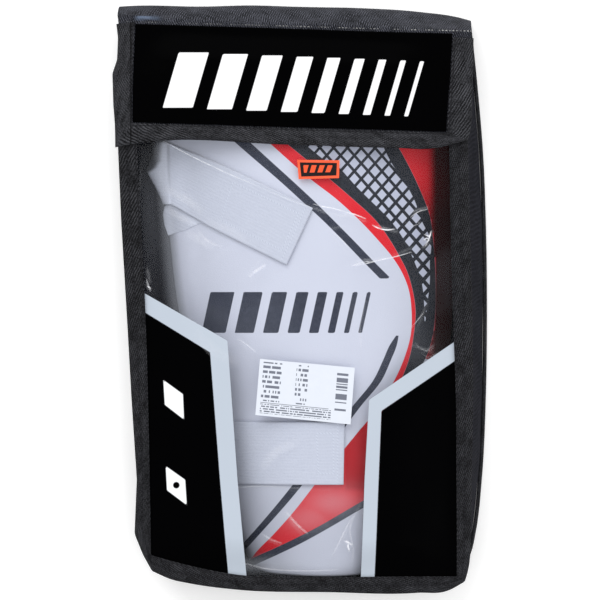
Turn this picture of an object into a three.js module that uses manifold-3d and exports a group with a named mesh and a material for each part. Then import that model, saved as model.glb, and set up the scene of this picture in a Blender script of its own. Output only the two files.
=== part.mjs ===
// Cricket thigh guard in its clear-front nylon pouch, lying on its back.
// Millimetres: +X to the right of the pouch, +Y to its flap, +Z up out of its clear front.
import * as THREE from "three";
import { mergeVertices } from "three/addons/utils/BufferGeometryUtils.js";
import Module from "manifold-3d";

const wasm = await Module();
wasm.setup();

// Guard
const GUARD_WIDTH = 221.3;
const GUARD_LENGTH = 405.4;
const GUARD_SHIFT = 5.9; // its middle, to the right of the pouch's
const ARCH_DROP = 34; // crown to side edge, the curve round the thigh
const END_DROP = 7;
const EDGE_ROLL = 3;
const PAD_CROWN = 15; // foam at its thickest, with its facing
const PAD_EDGE = 7;
const FACING = 1.6;
const BARE_EDGE = 2; // unpainted at the guard's right edge

// Pouch, cut round the guard
const SIDE_ROOM = 57.3; // wider than the guard, left and right together
const END_ROOM = 37.1; // longer than the guard, both ends together
const LOW_ROOM = 13.15; // of that, below the guard
const POUCH_WIDTH = GUARD_WIDTH + SIDE_ROOM;
const POUCH_LENGTH = GUARD_LENGTH + END_ROOM;
const GUARD_BOTTOM = LOW_ROOM - POUCH_LENGTH / 2;
const SEAT_HEIGHT = 42; // underside of the front frame above the floor
const CLOTH = 1.6; // woven nylon
const TAPE = 1.2; // binding tape
const LIP = 5; // how far a folded tape reaches over an edge
const RIDGE = 1.9; // crown of a folded tape above its own seat
const FILM = 0.8;
const FILM_RISE = 8.2; // how far the film swells over the guard
const CORD = 3; // width of the back seam's binding
const CORD_HEIGHT = 5.5;
const GAP = 0.3; // between pieces that rest on each other

// Flap
const FLAP_DROP = 93.75;
const FLAP_TOP = 0.968; // share of the pouch's length where the drop is counted from
const FLAP_FOLD = 2; // rounding where the spine turns into the front
const PANEL = 1; // glossy sheet on the flap
const PRINT = 0.4; // printed film, painted stripe or sticker
const STICKER_EDGE = 2; // width of the orange border

// Straps
const ELASTIC_WIDTH = 47;
const ELASTIC = 1.5;
const STRAP_SEAT = GAP + PRINT + GAP; // clears the painted stripes
const STRAP_TURN = 3; // how far inside the guard's edge a strap starts to turn
const STRAP_PLAY = 1; // how loosely it goes round that edge

// Outlines of the front frame, of its clear pane and of the back: left and right edges against height, as
// shares of half the width, and lower and upper ends against the share across, as shares of the length
const FRONT_SIDES = [
  { up: 0, left: -0.798, right: 0.866 },
  { up: 0.037, left: -0.798, right: 0.904 },
  { up: 0.064, left: -0.846, right: 0.917 },
  { up: 0.1, left: -0.892, right: 0.92 },
  { up: 0.192, left: -0.88, right: 0.925 },
  { up: 0.327, left: -0.908, right: 0.931 },
  { up: 0.446, left: -0.929, right: 0.928 },
  { up: 0.632, left: -0.964, right: 0.914 },
  { up: 0.754, left: -0.981, right: 0.904 },
  { up: 0.836, left: -0.978, right: 0.901 },
  { up: 0.941, left: -0.972, right: 0.901 },
  { up: 1, left: -0.97, right: 0.901 },
];
const FRONT_ENDS = [
  { across: 0, low: 0.037, high: 0.98 },
  { across: 0.06, low: 0.023, high: 0.978 },
  { across: 0.12, low: 0.016, high: 0.975 },
  { across: 0.28, low: 0.005, high: 0.969 },
  { across: 0.57, low: 0.001, high: 0.964 },
  { across: 0.86, low: 0, high: 0.956 },
  { across: 0.965, low: 0.006, high: 0.954 },
  { across: 1, low: 0.019, high: 0.953 },
];
const FRONT = { sides: FRONT_SIDES, ends: FRONT_ENDS };

const PANE_SIDES = [
  { up: 0, left: -0.803, right: 0.844 },
  { up: 0.037, left: -0.803, right: 0.844 },
  { up: 0.064, left: -0.803, right: 0.844 },
  { up: 0.1, left: -0.805, right: 0.844 },
  { up: 0.192, left: -0.81, right: 0.842 },
  { up: 0.327, left: -0.819, right: 0.839 },
  { up: 0.446, left: -0.83, right: 0.826 },
  { up: 0.632, left: -0.857, right: 0.809 },
  { up: 0.754, left: -0.879, right: 0.803 },
  { up: 0.836, left: -0.894, right: 0.801 },
  { up: 0.941, left: -0.894, right: 0.801 },
  { up: 1, left: -0.894, right: 0.801 },
];
const PANE_ENDS = [
  { across: 0, low: 0.064, high: 0.944 },
  { across: 0.06, low: 0.055, high: 0.946 },
  { across: 0.12, low: 0.047, high: 0.947 },
  { across: 0.28, low: 0.031, high: 0.949 },
  { across: 0.57, low: 0.027, high: 0.949 },
  { across: 0.86, low: 0.028, high: 0.944 },
  { across: 0.965, low: 0.028, high: 0.941 },
  { across: 1, low: 0.028, high: 0.939 },
];
const PANE = { sides: PANE_SIDES, ends: PANE_ENDS };

const BACK_SIDES = [
  { up: 0, left: -0.755, right: 0.834 },
  { up: 0.037, left: -0.765, right: 0.893 },
  { up: 0.064, left: -0.808, right: 0.931 },
  { up: 0.1, left: -0.83, right: 0.957 },
  { up: 0.192, left: -0.841, right: 0.99 },
  { up: 0.327, left: -0.868, right: 1.011 },
  { up: 0.446, left: -0.889, right: 1.017 },
  { up: 0.632, left: -0.921, right: 1.011 },
  { up: 0.754, left: -0.938, right: 0.995 },
  { up: 0.836, left: -0.954, right: 0.974 },
  { up: 0.941, left: -0.97, right: 0.941 },
  { up: 1, left: -0.975, right: 0.92 },
];
const BACK_ENDS = [
  { across: 0, low: 0.046, high: 0.992 },
  { across: 0.06, low: 0.034, high: 0.994 },
  { across: 0.12, low: 0.025, high: 0.996 },
  { across: 0.28, low: 0.015, high: 0.998 },
  { across: 0.57, low: 0.012, high: 0.998 },
  { across: 0.86, low: 0.012, high: 0.99 },
  { across: 0.965, low: 0.019, high: 0.981 },
  { across: 1, low: 0.032, high: 0.975 },
];
const BACK = { sides: BACK_SIDES, ends: BACK_ENDS };

// Flap and its glossy panel against the share of the drop
const FLAP_SIDES = [
  { down: -0.056, left: -0.983, right: 0.922, panelLeft: -0.888, panelRight: 0.826 },
  { down: 0.128, left: -0.969, right: 0.922, panelLeft: -0.894, panelRight: 0.822 },
  { down: 0.304, left: -0.974, right: 0.919, panelLeft: -0.899, panelRight: 0.816 },
  { down: 0.416, left: -0.999, right: 0.917, panelLeft: -0.902, panelRight: 0.811 },
  { down: 0.664, left: -0.994, right: 0.913, panelLeft: -0.906, panelRight: 0.799 },
  { down: 0.816, left: -0.986, right: 0.908, panelLeft: -0.905, panelRight: 0.792 },
  { down: 0.928, left: -0.984, right: 0.894, panelLeft: -0.904, panelRight: 0.788 },
  { down: 1, left: -0.984, right: 0.866, panelLeft: -0.903, panelRight: 0.785 },
];
const FLAP_ENDS = [
  { across: 0, bottom: 0.984, panelBottom: 0.811, panelTop: 0.01 },
  { across: 0.06, bottom: 0.955, panelBottom: 0.816, panelTop: 0.015 },
  { across: 0.5, bottom: 0.968, panelBottom: 0.852, panelTop: 0.05 },
  { across: 0.8, bottom: 0.992, panelBottom: 0.874, panelTop: 0.075 },
  { across: 0.93, bottom: 0.99, panelBottom: 0.883, panelTop: 0.083 },
  { across: 1, bottom: 0.93, panelBottom: 0.888, panelTop: 0.088 },
];

// Outline of the guard: shares of half its width and of its length
const GUARD_SIDES = [
  { up: 0, left: -0.353, right: 0.576 },
  { up: 0.029, left: -0.407, right: 0.651 },
  { up: 0.056, left: -0.454, right: 0.705 },
  { up: 0.101, left: -0.515, right: 0.759 },
  { up: 0.199, left: -0.631, right: 0.841 },
  { up: 0.395, left: -0.814, right: 0.963 },
  { up: 0.495, left: -0.888, right: 0.99 },
  { up: 0.639, left: -0.949, right: 0.99 },
  { up: 0.787, left: -0.99, right: 0.965 },
  { up: 0.88, left: -0.99, right: 0.93 },
  { up: 0.935, left: -0.97, right: 0.9 },
  { up: 0.983, left: -0.902, right: 0.841 },
  { up: 1, left: -0.88, right: 0.82 },
];
const GUARD_ENDS = [
  { across: 0, bottom: 0.012, top: 0.972 },
  { across: 0.08, bottom: 0.004, top: 0.985 },
  { across: 0.25, bottom: 0, top: 0.995 },
  { across: 0.75, bottom: 0, top: 0.995 },
  { across: 0.92, bottom: 0.004, top: 0.985 },
  { across: 1, bottom: 0.012, top: 0.972 },
];

// Painted stripes: left and right edges, as shares of half the guard's width, against its length
const SLATE_UPPER = [
  { up: 0.954, left: -0.94, right: -0.87 },
  { up: 0.88, left: -0.792, right: -0.69 },
  { up: 0.804, left: -0.504, right: -0.402 },
  { up: 0.732, left: -0.201, right: -0.112 },
  { up: 0.658, left: 0.095, right: 0.171 },
  { up: 0.621, left: 0.234, right: 0.306 },
  { up: 0.549, left: 0.488, right: 0.564 },
];
const RED_CURVE = [
  { up: 0.954, left: -0.84, right: -0.758 },
  { up: 0.88, left: -0.609, right: -0.515 },
  { up: 0.804, left: -0.278, right: -0.167 },
  { up: 0.728, left: 0.041, right: 0.171 },
  { up: 0.658, left: 0.346, right: 0.457 },
  { up: 0.593, left: 0.563, right: 0.618 },
  { up: 0.536, left: 0.678, right: 0.705 },
  { up: 0.489, left: 0.705, right: 0.733 },
  { up: 0.443, left: 0.698, right: 0.719 },
  { up: 0.404, left: 0.658, right: 0.692 },
  { up: 0.362, left: 0.59, right: 0.635 },
  { up: 0.325, left: 0.508, right: 0.569 },
];
const BLACK_FIELD = [
  { up: 0.954, left: -0.758, right: 0.434 },
  { up: 0.88, left: -0.515, right: 0.434 },
  { up: 0.804, left: -0.167, right: 0.593 },
  { up: 0.728, left: 0.171, right: 0.743 },
  { up: 0.658, left: 0.457, right: 0.838 },
  { up: 0.593, left: 0.618, right: 0.864 },
  { up: 0.536, left: 0.705, right: 0.872 },
  { up: 0.489, left: 0.733, right: 0.87 },
  { up: 0.443, left: 0.719, right: 0.851 },
  { up: 0.404, left: 0.692, right: 0.806 },
  { up: 0.362, left: 0.635, right: 0.719 },
  { up: 0.325, left: 0.569, right: 0.624 },
];
const SLATE_LOWER = [
  { up: 0.444, left: 0.6, right: 0.617 },
  { up: 0.426, left: 0.553, right: 0.596 },
  { up: 0.36, left: 0.441, right: 0.498 },
  { up: 0.314, left: 0.305, right: 0.361 },
  { up: 0.232, left: 0.068, right: 0.136 },
  { up: 0.166, left: -0.108, right: -0.043 },
  { up: 0.061, left: -0.427, right: -0.373 },
];
// Lower wedge and the line under it: lower and upper edges against the share across
const RED_WEDGE = [
  { across: -0.366, low: 0.031, high: 0.034 },
  { across: -0.237, low: 0.05, high: 0.074 },
  { across: -0.108, low: 0.07, high: 0.114 },
  { across: 0.081, low: 0.099, high: 0.18 },
  { across: 0.258, low: 0.121, high: 0.238 },
  { across: 0.4, low: 0.139, high: 0.284 },
  { across: 0.569, low: 0.158, high: 0.325 },
];
const WEDGE_LINE = [
  { across: -0.353, low: 0.018, high: 0.031 },
  { across: -0.214, low: 0.037, high: 0.053 },
  { across: -0.061, low: 0.058, high: 0.077 },
  { across: 0.183, low: 0.095, high: 0.111 },
  { across: 0.569, low: 0.149, high: 0.157 },
];

// Pale edges of the two printed panels, from the pane's side down to its lower end
const LEFT_PRINT = { out: [[-0.86, 0.512], [-0.39, 0.428], [-0.336, 0.192], [-0.28, 0.02]],
  edge: [[-0.86, 0.48], [-0.484, 0.408], [-0.431, 0.192], [-0.379, 0.02]], side: -0.95 };
const RIGHT_PRINT = { out: [[0.87, 0.434], [0.37, 0.328], [0.346, 0.192], [0.324, 0.02]],
  edge: [[0.87, 0.401], [0.437, 0.309], [0.422, 0.192], [0.398, 0.02]], side: 0.95 };
const LOZENGE_UPPER = [[-0.737, 0.361], [-0.631, 0.337], [-0.625, 0.294], [-0.729, 0.319]];
const LOZENGE_LOWER = [[-0.724, 0.215], [-0.619, 0.192], [-0.61, 0.149], [-0.717, 0.174]];
const WHITE_STICKER = [[-0.216, 0.397], [0.294, 0.382], [0.271, 0.286], [-0.241, 0.302]];
const SIZE_STICKER = [[-0.014, 0.734], [0.212, 0.733], [0.209, 0.703], [-0.001, 0.7]];

const FRAME_ACROSS = [0, 0.03, 0.08, 0.15, 0.3, 0.45, 0.6, 0.75, 0.88, 0.95, 0.98, 1];
const FRAME_UP = [0, 0.03, 0.07, 0.12, 0.22, 0.35, 0.5, 0.65, 0.8, 0.9, 1];
const GUARD_ACROSS = [0, 0.012, 0.04, 0.09, 0.16, 0.23, 0.3, 0.37, 0.44, 0.5, 0.56, 0.63, 0.7, 0.77, 0.84,
  0.91, 0.96, 0.988, 1];
const GUARD_UP = [0, 0.012, 0.035, 0.07, 0.13, 0.21, 0.3, 0.4, 0.5, 0.6, 0.7, 0.79, 0.87, 0.93, 0.965, 0.988,
  1];

const mix = (from, to, share) => from + (to - from) * share;
const ease = (share) => {
  const held = Math.min(1, Math.max(0, share));
  return held * held * (3 - 2 * held);
};

// A value of a table, by straight lines between its rows; past an end the first or last row holds.
function read(table, key, at, want) {
  const rows = [...table].sort((one, two) => one[key] - two[key]);
  if (at <= rows[0][key]) return rows[0][want];
  for (let i = 1; i < rows.length; i++) {
    const low = rows[i - 1];
    const high = rows[i];
    if (at <= high[key]) return mix(low[want], high[want], (at - low[key]) / (high[key] - low[key]));
  }
  return rows[rows.length - 1][want];
}

// Places on the pouch, from shares
const pouchX = (share) => (share * POUCH_WIDTH) / 2;
const pouchY = (share) => (share - 0.5) * POUCH_LENGTH;
const pouchUp = (y) => y / POUCH_LENGTH + 0.5;

// A point of one of the pouch's outlines, for a share across and a share up.
function onPouch(outline, across, up) {
  const held = Math.min(1, Math.max(0, across));
  const low = read(outline.ends, "across", held, "low");
  const height = mix(low, read(outline.ends, "across", held, "high"), up);
  const left = read(outline.sides, "up", height, "left");
  return [pouchX(mix(left, read(outline.sides, "up", height, "right"), across)), pouchY(height)];
}

// The outline as stations: down the left, along the bottom, up the right, and back along the top if closed.
function stations(outline, closed, top = 1) {
  const down = [...FRAME_UP].reverse().map((up) => [0, Math.min(up, top)]);
  const along = FRAME_ACROSS.slice(1).map((across) => [across, 0]);
  const rise = FRAME_UP.slice(1).map((up) => [1, Math.min(up, top)]);
  const home = closed ? [...FRAME_ACROSS].reverse().slice(1, -1).map((across) => [across, 1]) : [];
  return [...down, ...along, ...rise, ...home].map(([across, up]) => onPouch(outline, across, up));
}

// The stations moved inwards, mitred so that every run keeps the same distance.
function inset(points, distance, closed) {
  const last = points.length - 1;
  const normal = ([x1, y1], [x2, y2]) => {
    const length = Math.hypot(x2 - x1, y2 - y1);
    return [(y1 - y2) / length, (x2 - x1) / length];
  };
  return points.map(([x, y], i) => {
    const before = points[i > 0 ? i - 1 : last];
    const after = points[i < last ? i + 1 : 0];
    const [n1, n2] = [normal(before, [x, y]), normal([x, y], after)];
    const one = !closed && i === 0 ? n2 : n1;
    const two = !closed && i === last ? n1 : n2;
    const share = distance / Math.max(0.5, 1 + one[0] * two[0] + one[1] * two[1]);
    return [x + (one[0] + two[0]) * share, y + (one[1] + two[1]) * share];
  });
}

// How far the film swells at a place: 0 at the pane's edge, 1 over the guard.
function swell(x, y) {
  const up = pouchUp(y);
  const left = pouchX(read(PANE_SIDES, "up", up, "left"));
  const right = pouchX(read(PANE_SIDES, "up", up, "right"));
  const across = (x - left) / (right - left);
  const low = pouchY(read(PANE_ENDS, "across", across, "low"));
  const high = pouchY(read(PANE_ENDS, "across", across, "high"));
  const along = (y - low) / (high - low);
  return ease(Math.min(across, 1 - across) / 0.22) * ease(Math.min(along, 1 - along) / 0.07);
}

const FILM_EDGE = SEAT_HEIGHT - TAPE - GAP;
const filmTop = (x, y) => FILM_EDGE + FILM_RISE * swell(x, y);

// The flap lies on the frame at its edges and rises over the film; both in shares of the flap itself.
const FLAP_SEAT = SEAT_HEIGHT + RIDGE + GAP;
const FLAP_RISE = FILM_EDGE + FILM_RISE + 2 * GAP - FLAP_SEAT;
const ramp = (share, from, to) => Math.min(1, Math.max(0, (share - from) / (to - from)));

// Height of the fold at the pouch's top, as a share of the length.
const ridgeShare = (across) => read(FRONT_ENDS, "across", across, "high");

function flapUnder(x, y) {
  const down = (pouchY(FLAP_TOP) - y) / FLAP_DROP;
  const left = pouchX(read(FLAP_SIDES, "down", down, "left"));
  const right = pouchX(read(FLAP_SIDES, "down", down, "right"));
  const across = (x - left) / (right - left);
  const first = (FLAP_TOP - ridgeShare(across)) * (POUCH_LENGTH / FLAP_DROP);
  const along = (down - first) / (read(FLAP_ENDS, "across", across, "bottom") - first);
  const inside = ramp(across, 0.045, 0.18) * ramp(1 - across, 0.063, 0.2);
  return FLAP_SEAT + FLAP_RISE * inside * ramp(along, 0.1, 0.34);
}

// Guard: places and heights
const CROWN = CLOTH + GAP + ELASTIC + GAP + PAD_EDGE + ARCH_DROP;
const guardX = (share) => GUARD_SHIFT + (share * GUARD_WIDTH) / 2;
const guardY = (share) => GUARD_BOTTOM + share * GUARD_LENGTH;

function onGuard(across, up) {
  const low = read(GUARD_ENDS, "across", across, "bottom");
  const height = mix(low, read(GUARD_ENDS, "across", across, "top"), up);
  const left = read(GUARD_SIDES, "up", height, "left");
  return [guardX(mix(left, read(GUARD_SIDES, "up", height, "right"), across)), guardY(height)];
}

// Where a place lies on the guard: -1 to 1 across and along.
function guardShares(x, y) {
  const up = (y - GUARD_BOTTOM) / GUARD_LENGTH;
  const left = guardX(read(GUARD_SIDES, "up", up, "left"));
  const right = guardX(read(GUARD_SIDES, "up", up, "right"));
  return [(2 * x - left - right) / (right - left), 2 * up - 1];
}

function guardTop(x, y) {
  const [side, end] = guardShares(x, y);
  const drop = ARCH_DROP * (0.62 + 0.38 * Math.cos((end * Math.PI) / 2.4));
  return CROWN - drop * side ** 2 - EDGE_ROLL * side ** 16 - END_DROP * end ** 8;
}

function guardUnder(x, y) {
  const [side, end] = guardShares(x, y);
  const full = Math.sqrt(Math.max(0, 1 - side ** 4)) * Math.sqrt(Math.max(0, 1 - end ** 8));
  return guardTop(x, y) + EDGE_ROLL * side ** 16 - mix(PAD_EDGE, PAD_CROWN, full);
}

// Closed geometry from points and faces, turned so that its faces point outwards.
function solid(points, faces) {
  const corner = (i) => new THREE.Vector3(...points[i]);
  const volume = ([a, b, c]) => corner(a).dot(corner(b).cross(corner(c)));
  const outward = faces.reduce((sum, face) => sum + volume(face), 0) > 0;
  const made = new THREE.BufferGeometry();
  made.setAttribute("position", new THREE.Float32BufferAttribute(points.flat(), 3));
  made.setIndex(faces.flatMap(([a, b, c]) => (outward ? [a, b, c] : [a, c, b])));
  return made;
}

// A closed sheet between two faces, each of which gives a point for a share across and a share up.
function sheet(acrossStops, upStops, face, back) {
  const columns = acrossStops.length;
  const rows = upStops.length;
  const at = (side, row, column) => (side * rows + row) * columns + column;
  const grid = (side) => upStops.flatMap((up) => acrossStops.map((across) => side(across, up)));
  const points = [...grid(face), ...grid(back)];
  const faces = [];
  const quad = (a, b, c, d) => faces.push([a, b, c], [a, c, d]);
  for (let row = 1; row < rows; row++)
    for (let column = 1; column < columns; column++) {
      quad(at(0, row - 1, column - 1), at(0, row - 1, column), at(0, row, column), at(0, row, column - 1));
      quad(at(1, row - 1, column - 1), at(1, row, column - 1), at(1, row, column), at(1, row - 1, column));
    }
  for (let column = 1; column < columns; column++) {
    quad(at(0, 0, column), at(0, 0, column - 1), at(1, 0, column - 1), at(1, 0, column));
    const last = rows - 1;
    quad(at(0, last, column - 1), at(0, last, column), at(1, last, column), at(1, last, column - 1));
  }
  for (let row = 1; row < rows; row++) {
    quad(at(0, row - 1, 0), at(0, row, 0), at(1, row, 0), at(1, row - 1, 0));
    const last = columns - 1;
    quad(at(0, row, last), at(0, row - 1, last), at(1, row - 1, last), at(1, row, last));
  }
  return solid(points, faces);
}

// A section carried along stations, as a ring or with closed ends; flat is the section's own drawing.
function sweep(sections, closed, flat) {
  const size = sections[0].length;
  const count = sections.length;
  const faces = [];
  for (let i = 0; i < (closed ? count : count - 1); i++)
    for (let j = 0; j < size; j++) {
      const here = i * size;
      const there = ((i + 1) % count) * size;
      const next = (j + 1) % size;
      faces.push([here + j, here + next, there + next], [here + j, there + next, there + j]);
    }
  if (!closed) {
    const drawn = flat.map(([x, y]) => new THREE.Vector2(x, y));
    const wound = THREE.ShapeUtils.area(drawn) > 0;
    const end = (count - 1) * size;
    for (const [a, b, c] of THREE.ShapeUtils.triangulateShape(drawn, [])) {
      const same = THREE.ShapeUtils.area([drawn[a], drawn[b], drawn[c]]) > 0 === wound;
      const [q, r] = same ? [b, c] : [c, b];
      faces.push([a, r, q], [end + a, end + q, end + r]);
    }
  }
  return solid(sections.flat(), faces);
}

const toManifold = (geometry) => {
  const bare = new THREE.BufferGeometry().setAttribute("position", geometry.getAttribute("position"));
  const merged = mergeVertices(geometry.index ? bare.setIndex(geometry.index) : bare, 1e-4);
  const mesh = { numProp: 3, vertProperties: merged.attributes.position.array, triVerts: merged.index.array };
  return new wasm.Manifold(new wasm.Mesh({ ...mesh, triVerts: new Uint32Array(mesh.triVerts) }));
};

function fromManifold(made) {
  const { vertProperties, triVerts } = made.getMesh();
  const geometry = new THREE.BufferGeometry();
  geometry.setAttribute("position", new THREE.BufferAttribute(new Float32Array(vertProperties), 3));
  return geometry.setIndex([...triVerts]);
}

// An upright prism through everything, on a closed outline.
function prism(outline) {
  const shape = new THREE.Shape(outline.map(([x, y]) => new THREE.Vector2(x, y)));
  const block = new THREE.ExtrudeGeometry(shape, { depth: 4 * SEAT_HEIGHT, bevelEnabled: false });
  return block.translate(0, 0, -SEAT_HEIGHT);
}

const trimmed = (layer, outline) =>
  fromManifold(toManifold(layer).intersect(toManifold(prism(outline))));

function mesh(name, geometry, color, roughness, metalness = 0, opacity = 1) {
  const flat = geometry.index ? geometry.toNonIndexed() : geometry;
  flat.computeVertexNormals();
  const transparent = opacity < 1;
  const material = new THREE.MeshStandardMaterial({ color, roughness, metalness, opacity, transparent });
  const made = new THREE.Mesh(flat, material);
  made.name = name;
  return made;
}

// Back of the pouch, inside its seam binding.
function pouchBack() {
  const edge = inset(stations(BACK, true), CORD + 2 * GAP, true);
  const shape = new THREE.Shape(edge.map(([x, y]) => new THREE.Vector2(x, y)));
  return new THREE.ExtrudeGeometry(shape, { depth: CLOTH, bevelEnabled: false });
}

// Rounded binding over the seam of back and side walls.
function backBinding() {
  const outer = stations(BACK, true);
  const inner = inset(outer, CORD, true);
  const drawing = [[0.35, 0], [1, 0], [1, 1], [0.5, 1], [0.1, 0.8], [0, 0.45], [0.08, 0.15]];
  const sections = outer.map(([x, y], i) =>
    drawing.map(([inward, up]) => [
      mix(x, inner[i][0], inward), mix(y, inner[i][1], inward), up * CORD_HEIGHT]),
  );
  return sweep(sections, true);
}

// Side wall from the back up to the front frame: left, bottom and right.
function gusset() {
  const top = 1 - (CORD + 2 * GAP) / POUCH_LENGTH;
  const low = stations(BACK, false, top);
  const high = stations(FRONT, false, top);
  const start = CLOTH + GAP;
  const brim = FILM_EDGE - FILM - GAP;
  const foot = CORD_HEIGHT + GAP;
  const neck = SEAT_HEIGHT - LIP - GAP;
  const heights = [start, foot, (foot + neck) / 2, neck, brim];
  const [lowOut, lowIn] = [CORD + GAP, CORD + GAP + CLOTH].map((distance) => inset(low, distance, false));
  const [highOut, highIn] = [TAPE + GAP, TAPE + GAP + CLOTH].map((distance) => inset(high, distance, false));
  const leans = [0, 0, 0.5, 1, 1];
  const side = (inside) => heights.map((height, i) => [inside, height, leans[i]]);
  const drawing = [...side(0), ...side(1).reverse()];
  const sections = low.map((_, i) =>
    drawing.map(([inside, height, lean]) => {
      const [a, b] = inside ? [lowIn[i], highIn[i]] : [lowOut[i], highOut[i]];
      return [mix(a[0], b[0], lean), mix(a[1], b[1], lean), height];
    }),
  );
  return sweep(sections, false, drawing);
}

// A folded tape drawn from its outer edge, 0, to its inner one, 1, with lengths in millimetres past either.
function tapeSection(width, lip) {
  const fold = TAPE / width;
  return [[0, -lip], [0, 0], [0.08, 0.75 * RIDGE], [0.28, RIDGE], [0.46, 0.6 * RIDGE], [0.7, 0.95 * RIDGE],
    [1, 0.45 * RIDGE], [1, -TAPE / 2], [fold, -TAPE], [fold, -lip]];
}

// Frame of folded tape round the clear pane.
function frontFrame() {
  const outer = stations(FRONT, true);
  const inner = stations(PANE, true);
  const sections = outer.map(([x, y], i) => {
    const [nearX, nearY] = inner[i];
    return tapeSection(Math.hypot(nearX - x, nearY - y), LIP).map(([inward, up]) => [
      mix(x, nearX, inward), mix(y, nearY, inward), SEAT_HEIGHT + up]);
  });
  return sweep(sections, true);
}

const FILM_ACROSS = [-0.012, 0, 0.06, 0.12, 0.18, 0.24, 0.36, 0.5, 0.64, 0.76, 0.82, 0.88, 0.94, 1, 1.012];
const FILM_UP = [-0.007, 0, 0.02, 0.045, 0.08, 0.2, 0.35, 0.5, 0.65, 0.8, 0.92, 0.955, 0.98, 1, 1.007];

// A layer that follows the film, from one height above it to another.
function filmLayer(low, high) {
  const at = (lift) => (across, up) => {
    const [x, y] = onPouch(PANE, across, up);
    const [edgeX] = onPouch(PANE, Math.min(1, Math.max(0, across)), up);
    return [x, y, filmTop(edgeX, y) + lift];
  };
  return sheet(FILM_ACROSS, FILM_UP, at(high), at(low));
}

const printLayer = () => filmLayer(GAP, GAP + PRINT);
const placed = (outline) => outline.map(([across, up]) => [pouchX(across), pouchY(up)]);

// The pane inside the frame, where prints can lie.
const paneInside = () => inset(stations(PANE, true), GAP, true);

function printPanel({ edge, side }, shift) {
  const outline = [...placed(edge), [pouchX(side), pouchY(edge[3][1])], [pouchX(side), pouchY(edge[0][1])]];
  const inside = toManifold(prism(outline)).intersect(toManifold(prism(paneInside())));
  return fromManifold(toManifold(printLayer()).intersect(inside));
}

// Pale border of a printed panel, a gap away from the panel itself.
function printBorder({ out, edge }) {
  const towards = Math.sign(edge[1][0] - out[1][0]);
  const near = placed(edge).map(([x, y]) => [x - towards * GAP, y + GAP]);
  const outline = [...placed(out), ...near.reverse()];
  const inside = toManifold(prism(outline)).intersect(toManifold(prism(paneInside())));
  return fromManifold(toManifold(printLayer()).intersect(inside));
}

// Printed lozenge on the left panel, lying on it.
const lozenge = (outline) => trimmed(filmLayer(2 * GAP + PRINT, 2 * GAP + 2 * PRINT), placed(outline));
const sticker = (outline) => trimmed(printLayer(), placed(outline));

// Border round a sticker, and the field inside it
function band(outline, width) {
  const points = placed(outline).reverse();
  const outer = toManifold(prism(points));
  const inner = toManifold(prism(inset(points, width, true)));
  return fromManifold(toManifold(printLayer()).intersect(outer.subtract(inner)));
}
const field = (outline, width) =>
  trimmed(printLayer(), inset(placed(outline).reverse(), width + GAP, true));

// A point of the flap's underside: up the spine from the back seam, over the ridge and down the front.
const SPINE_STOPS = [0, 0.3, 0.6, 0.85];
const FRONT_STOPS = [0.035, 0.1, 0.18, 0.26, 0.34, 0.5, 0.65, 0.8, 0.92, 1];
const FLAP_ACROSS = [0, 0.022, 0.045, 0.09, 0.135, 0.18, 0.38, 0.6, 0.8, 0.845, 0.89, 0.937, 0.97, 1];

function flapPlace(across, down) {
  const left = read(FLAP_SIDES, "down", down, "left");
  const x = pouchX(mix(left, read(FLAP_SIDES, "down", down, "right"), across));
  return [x, pouchY(FLAP_TOP) - down * FLAP_DROP];
}

function flapPath(across) {
  const ridge = pouchY(ridgeShare(across));
  const [backX, backY] = onPouch(BACK, across, 1);
  const start = { x: backX, y: backY - CLOTH - GAP, z: CORD_HEIGHT + GAP };
  const [ridgeX] = flapPlace(across, 0);
  const top = flapUnder(ridgeX, ridge);
  const spine = SPINE_STOPS.map((share) => ({
    x: mix(start.x, ridgeX, share),
    y: mix(start.y, ridge, share),
    z: mix(start.z, top - FLAP_FOLD, share),
    lean: 0.08,
  }));
  const first = (pouchY(FLAP_TOP) - ridge) / FLAP_DROP;
  const last = read(FLAP_ENDS, "across", across, "bottom");
  const front = FRONT_STOPS.map((share) => {
    const [x, y] = flapPlace(across, mix(first, last, share));
    return { x, y, z: flapUnder(x, y), lean: 1 };
  });
  return [...spine, { x: ridgeX, y: ridge, z: top - 0.3 * FLAP_FOLD, lean: 0.5 }, ...front];
}

function flapLayer(low, high) {
  const rows = SPINE_STOPS.length + 1 + FRONT_STOPS.length;
  const upStops = Array.from({ length: rows }, (_, i) => i);
  const at = (thick) => (across, row) => {
    const { x, y, z, lean } = flapPath(across)[row];
    const angle = (lean * Math.PI) / 2;
    return [x, y + thick * Math.cos(angle), z + thick * Math.sin(angle)];
  };
  return sheet(FLAP_ACROSS, upStops, at(high), at(low));
}

const flapTop = (x, y) => flapUnder(x, y) + CLOTH;

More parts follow.
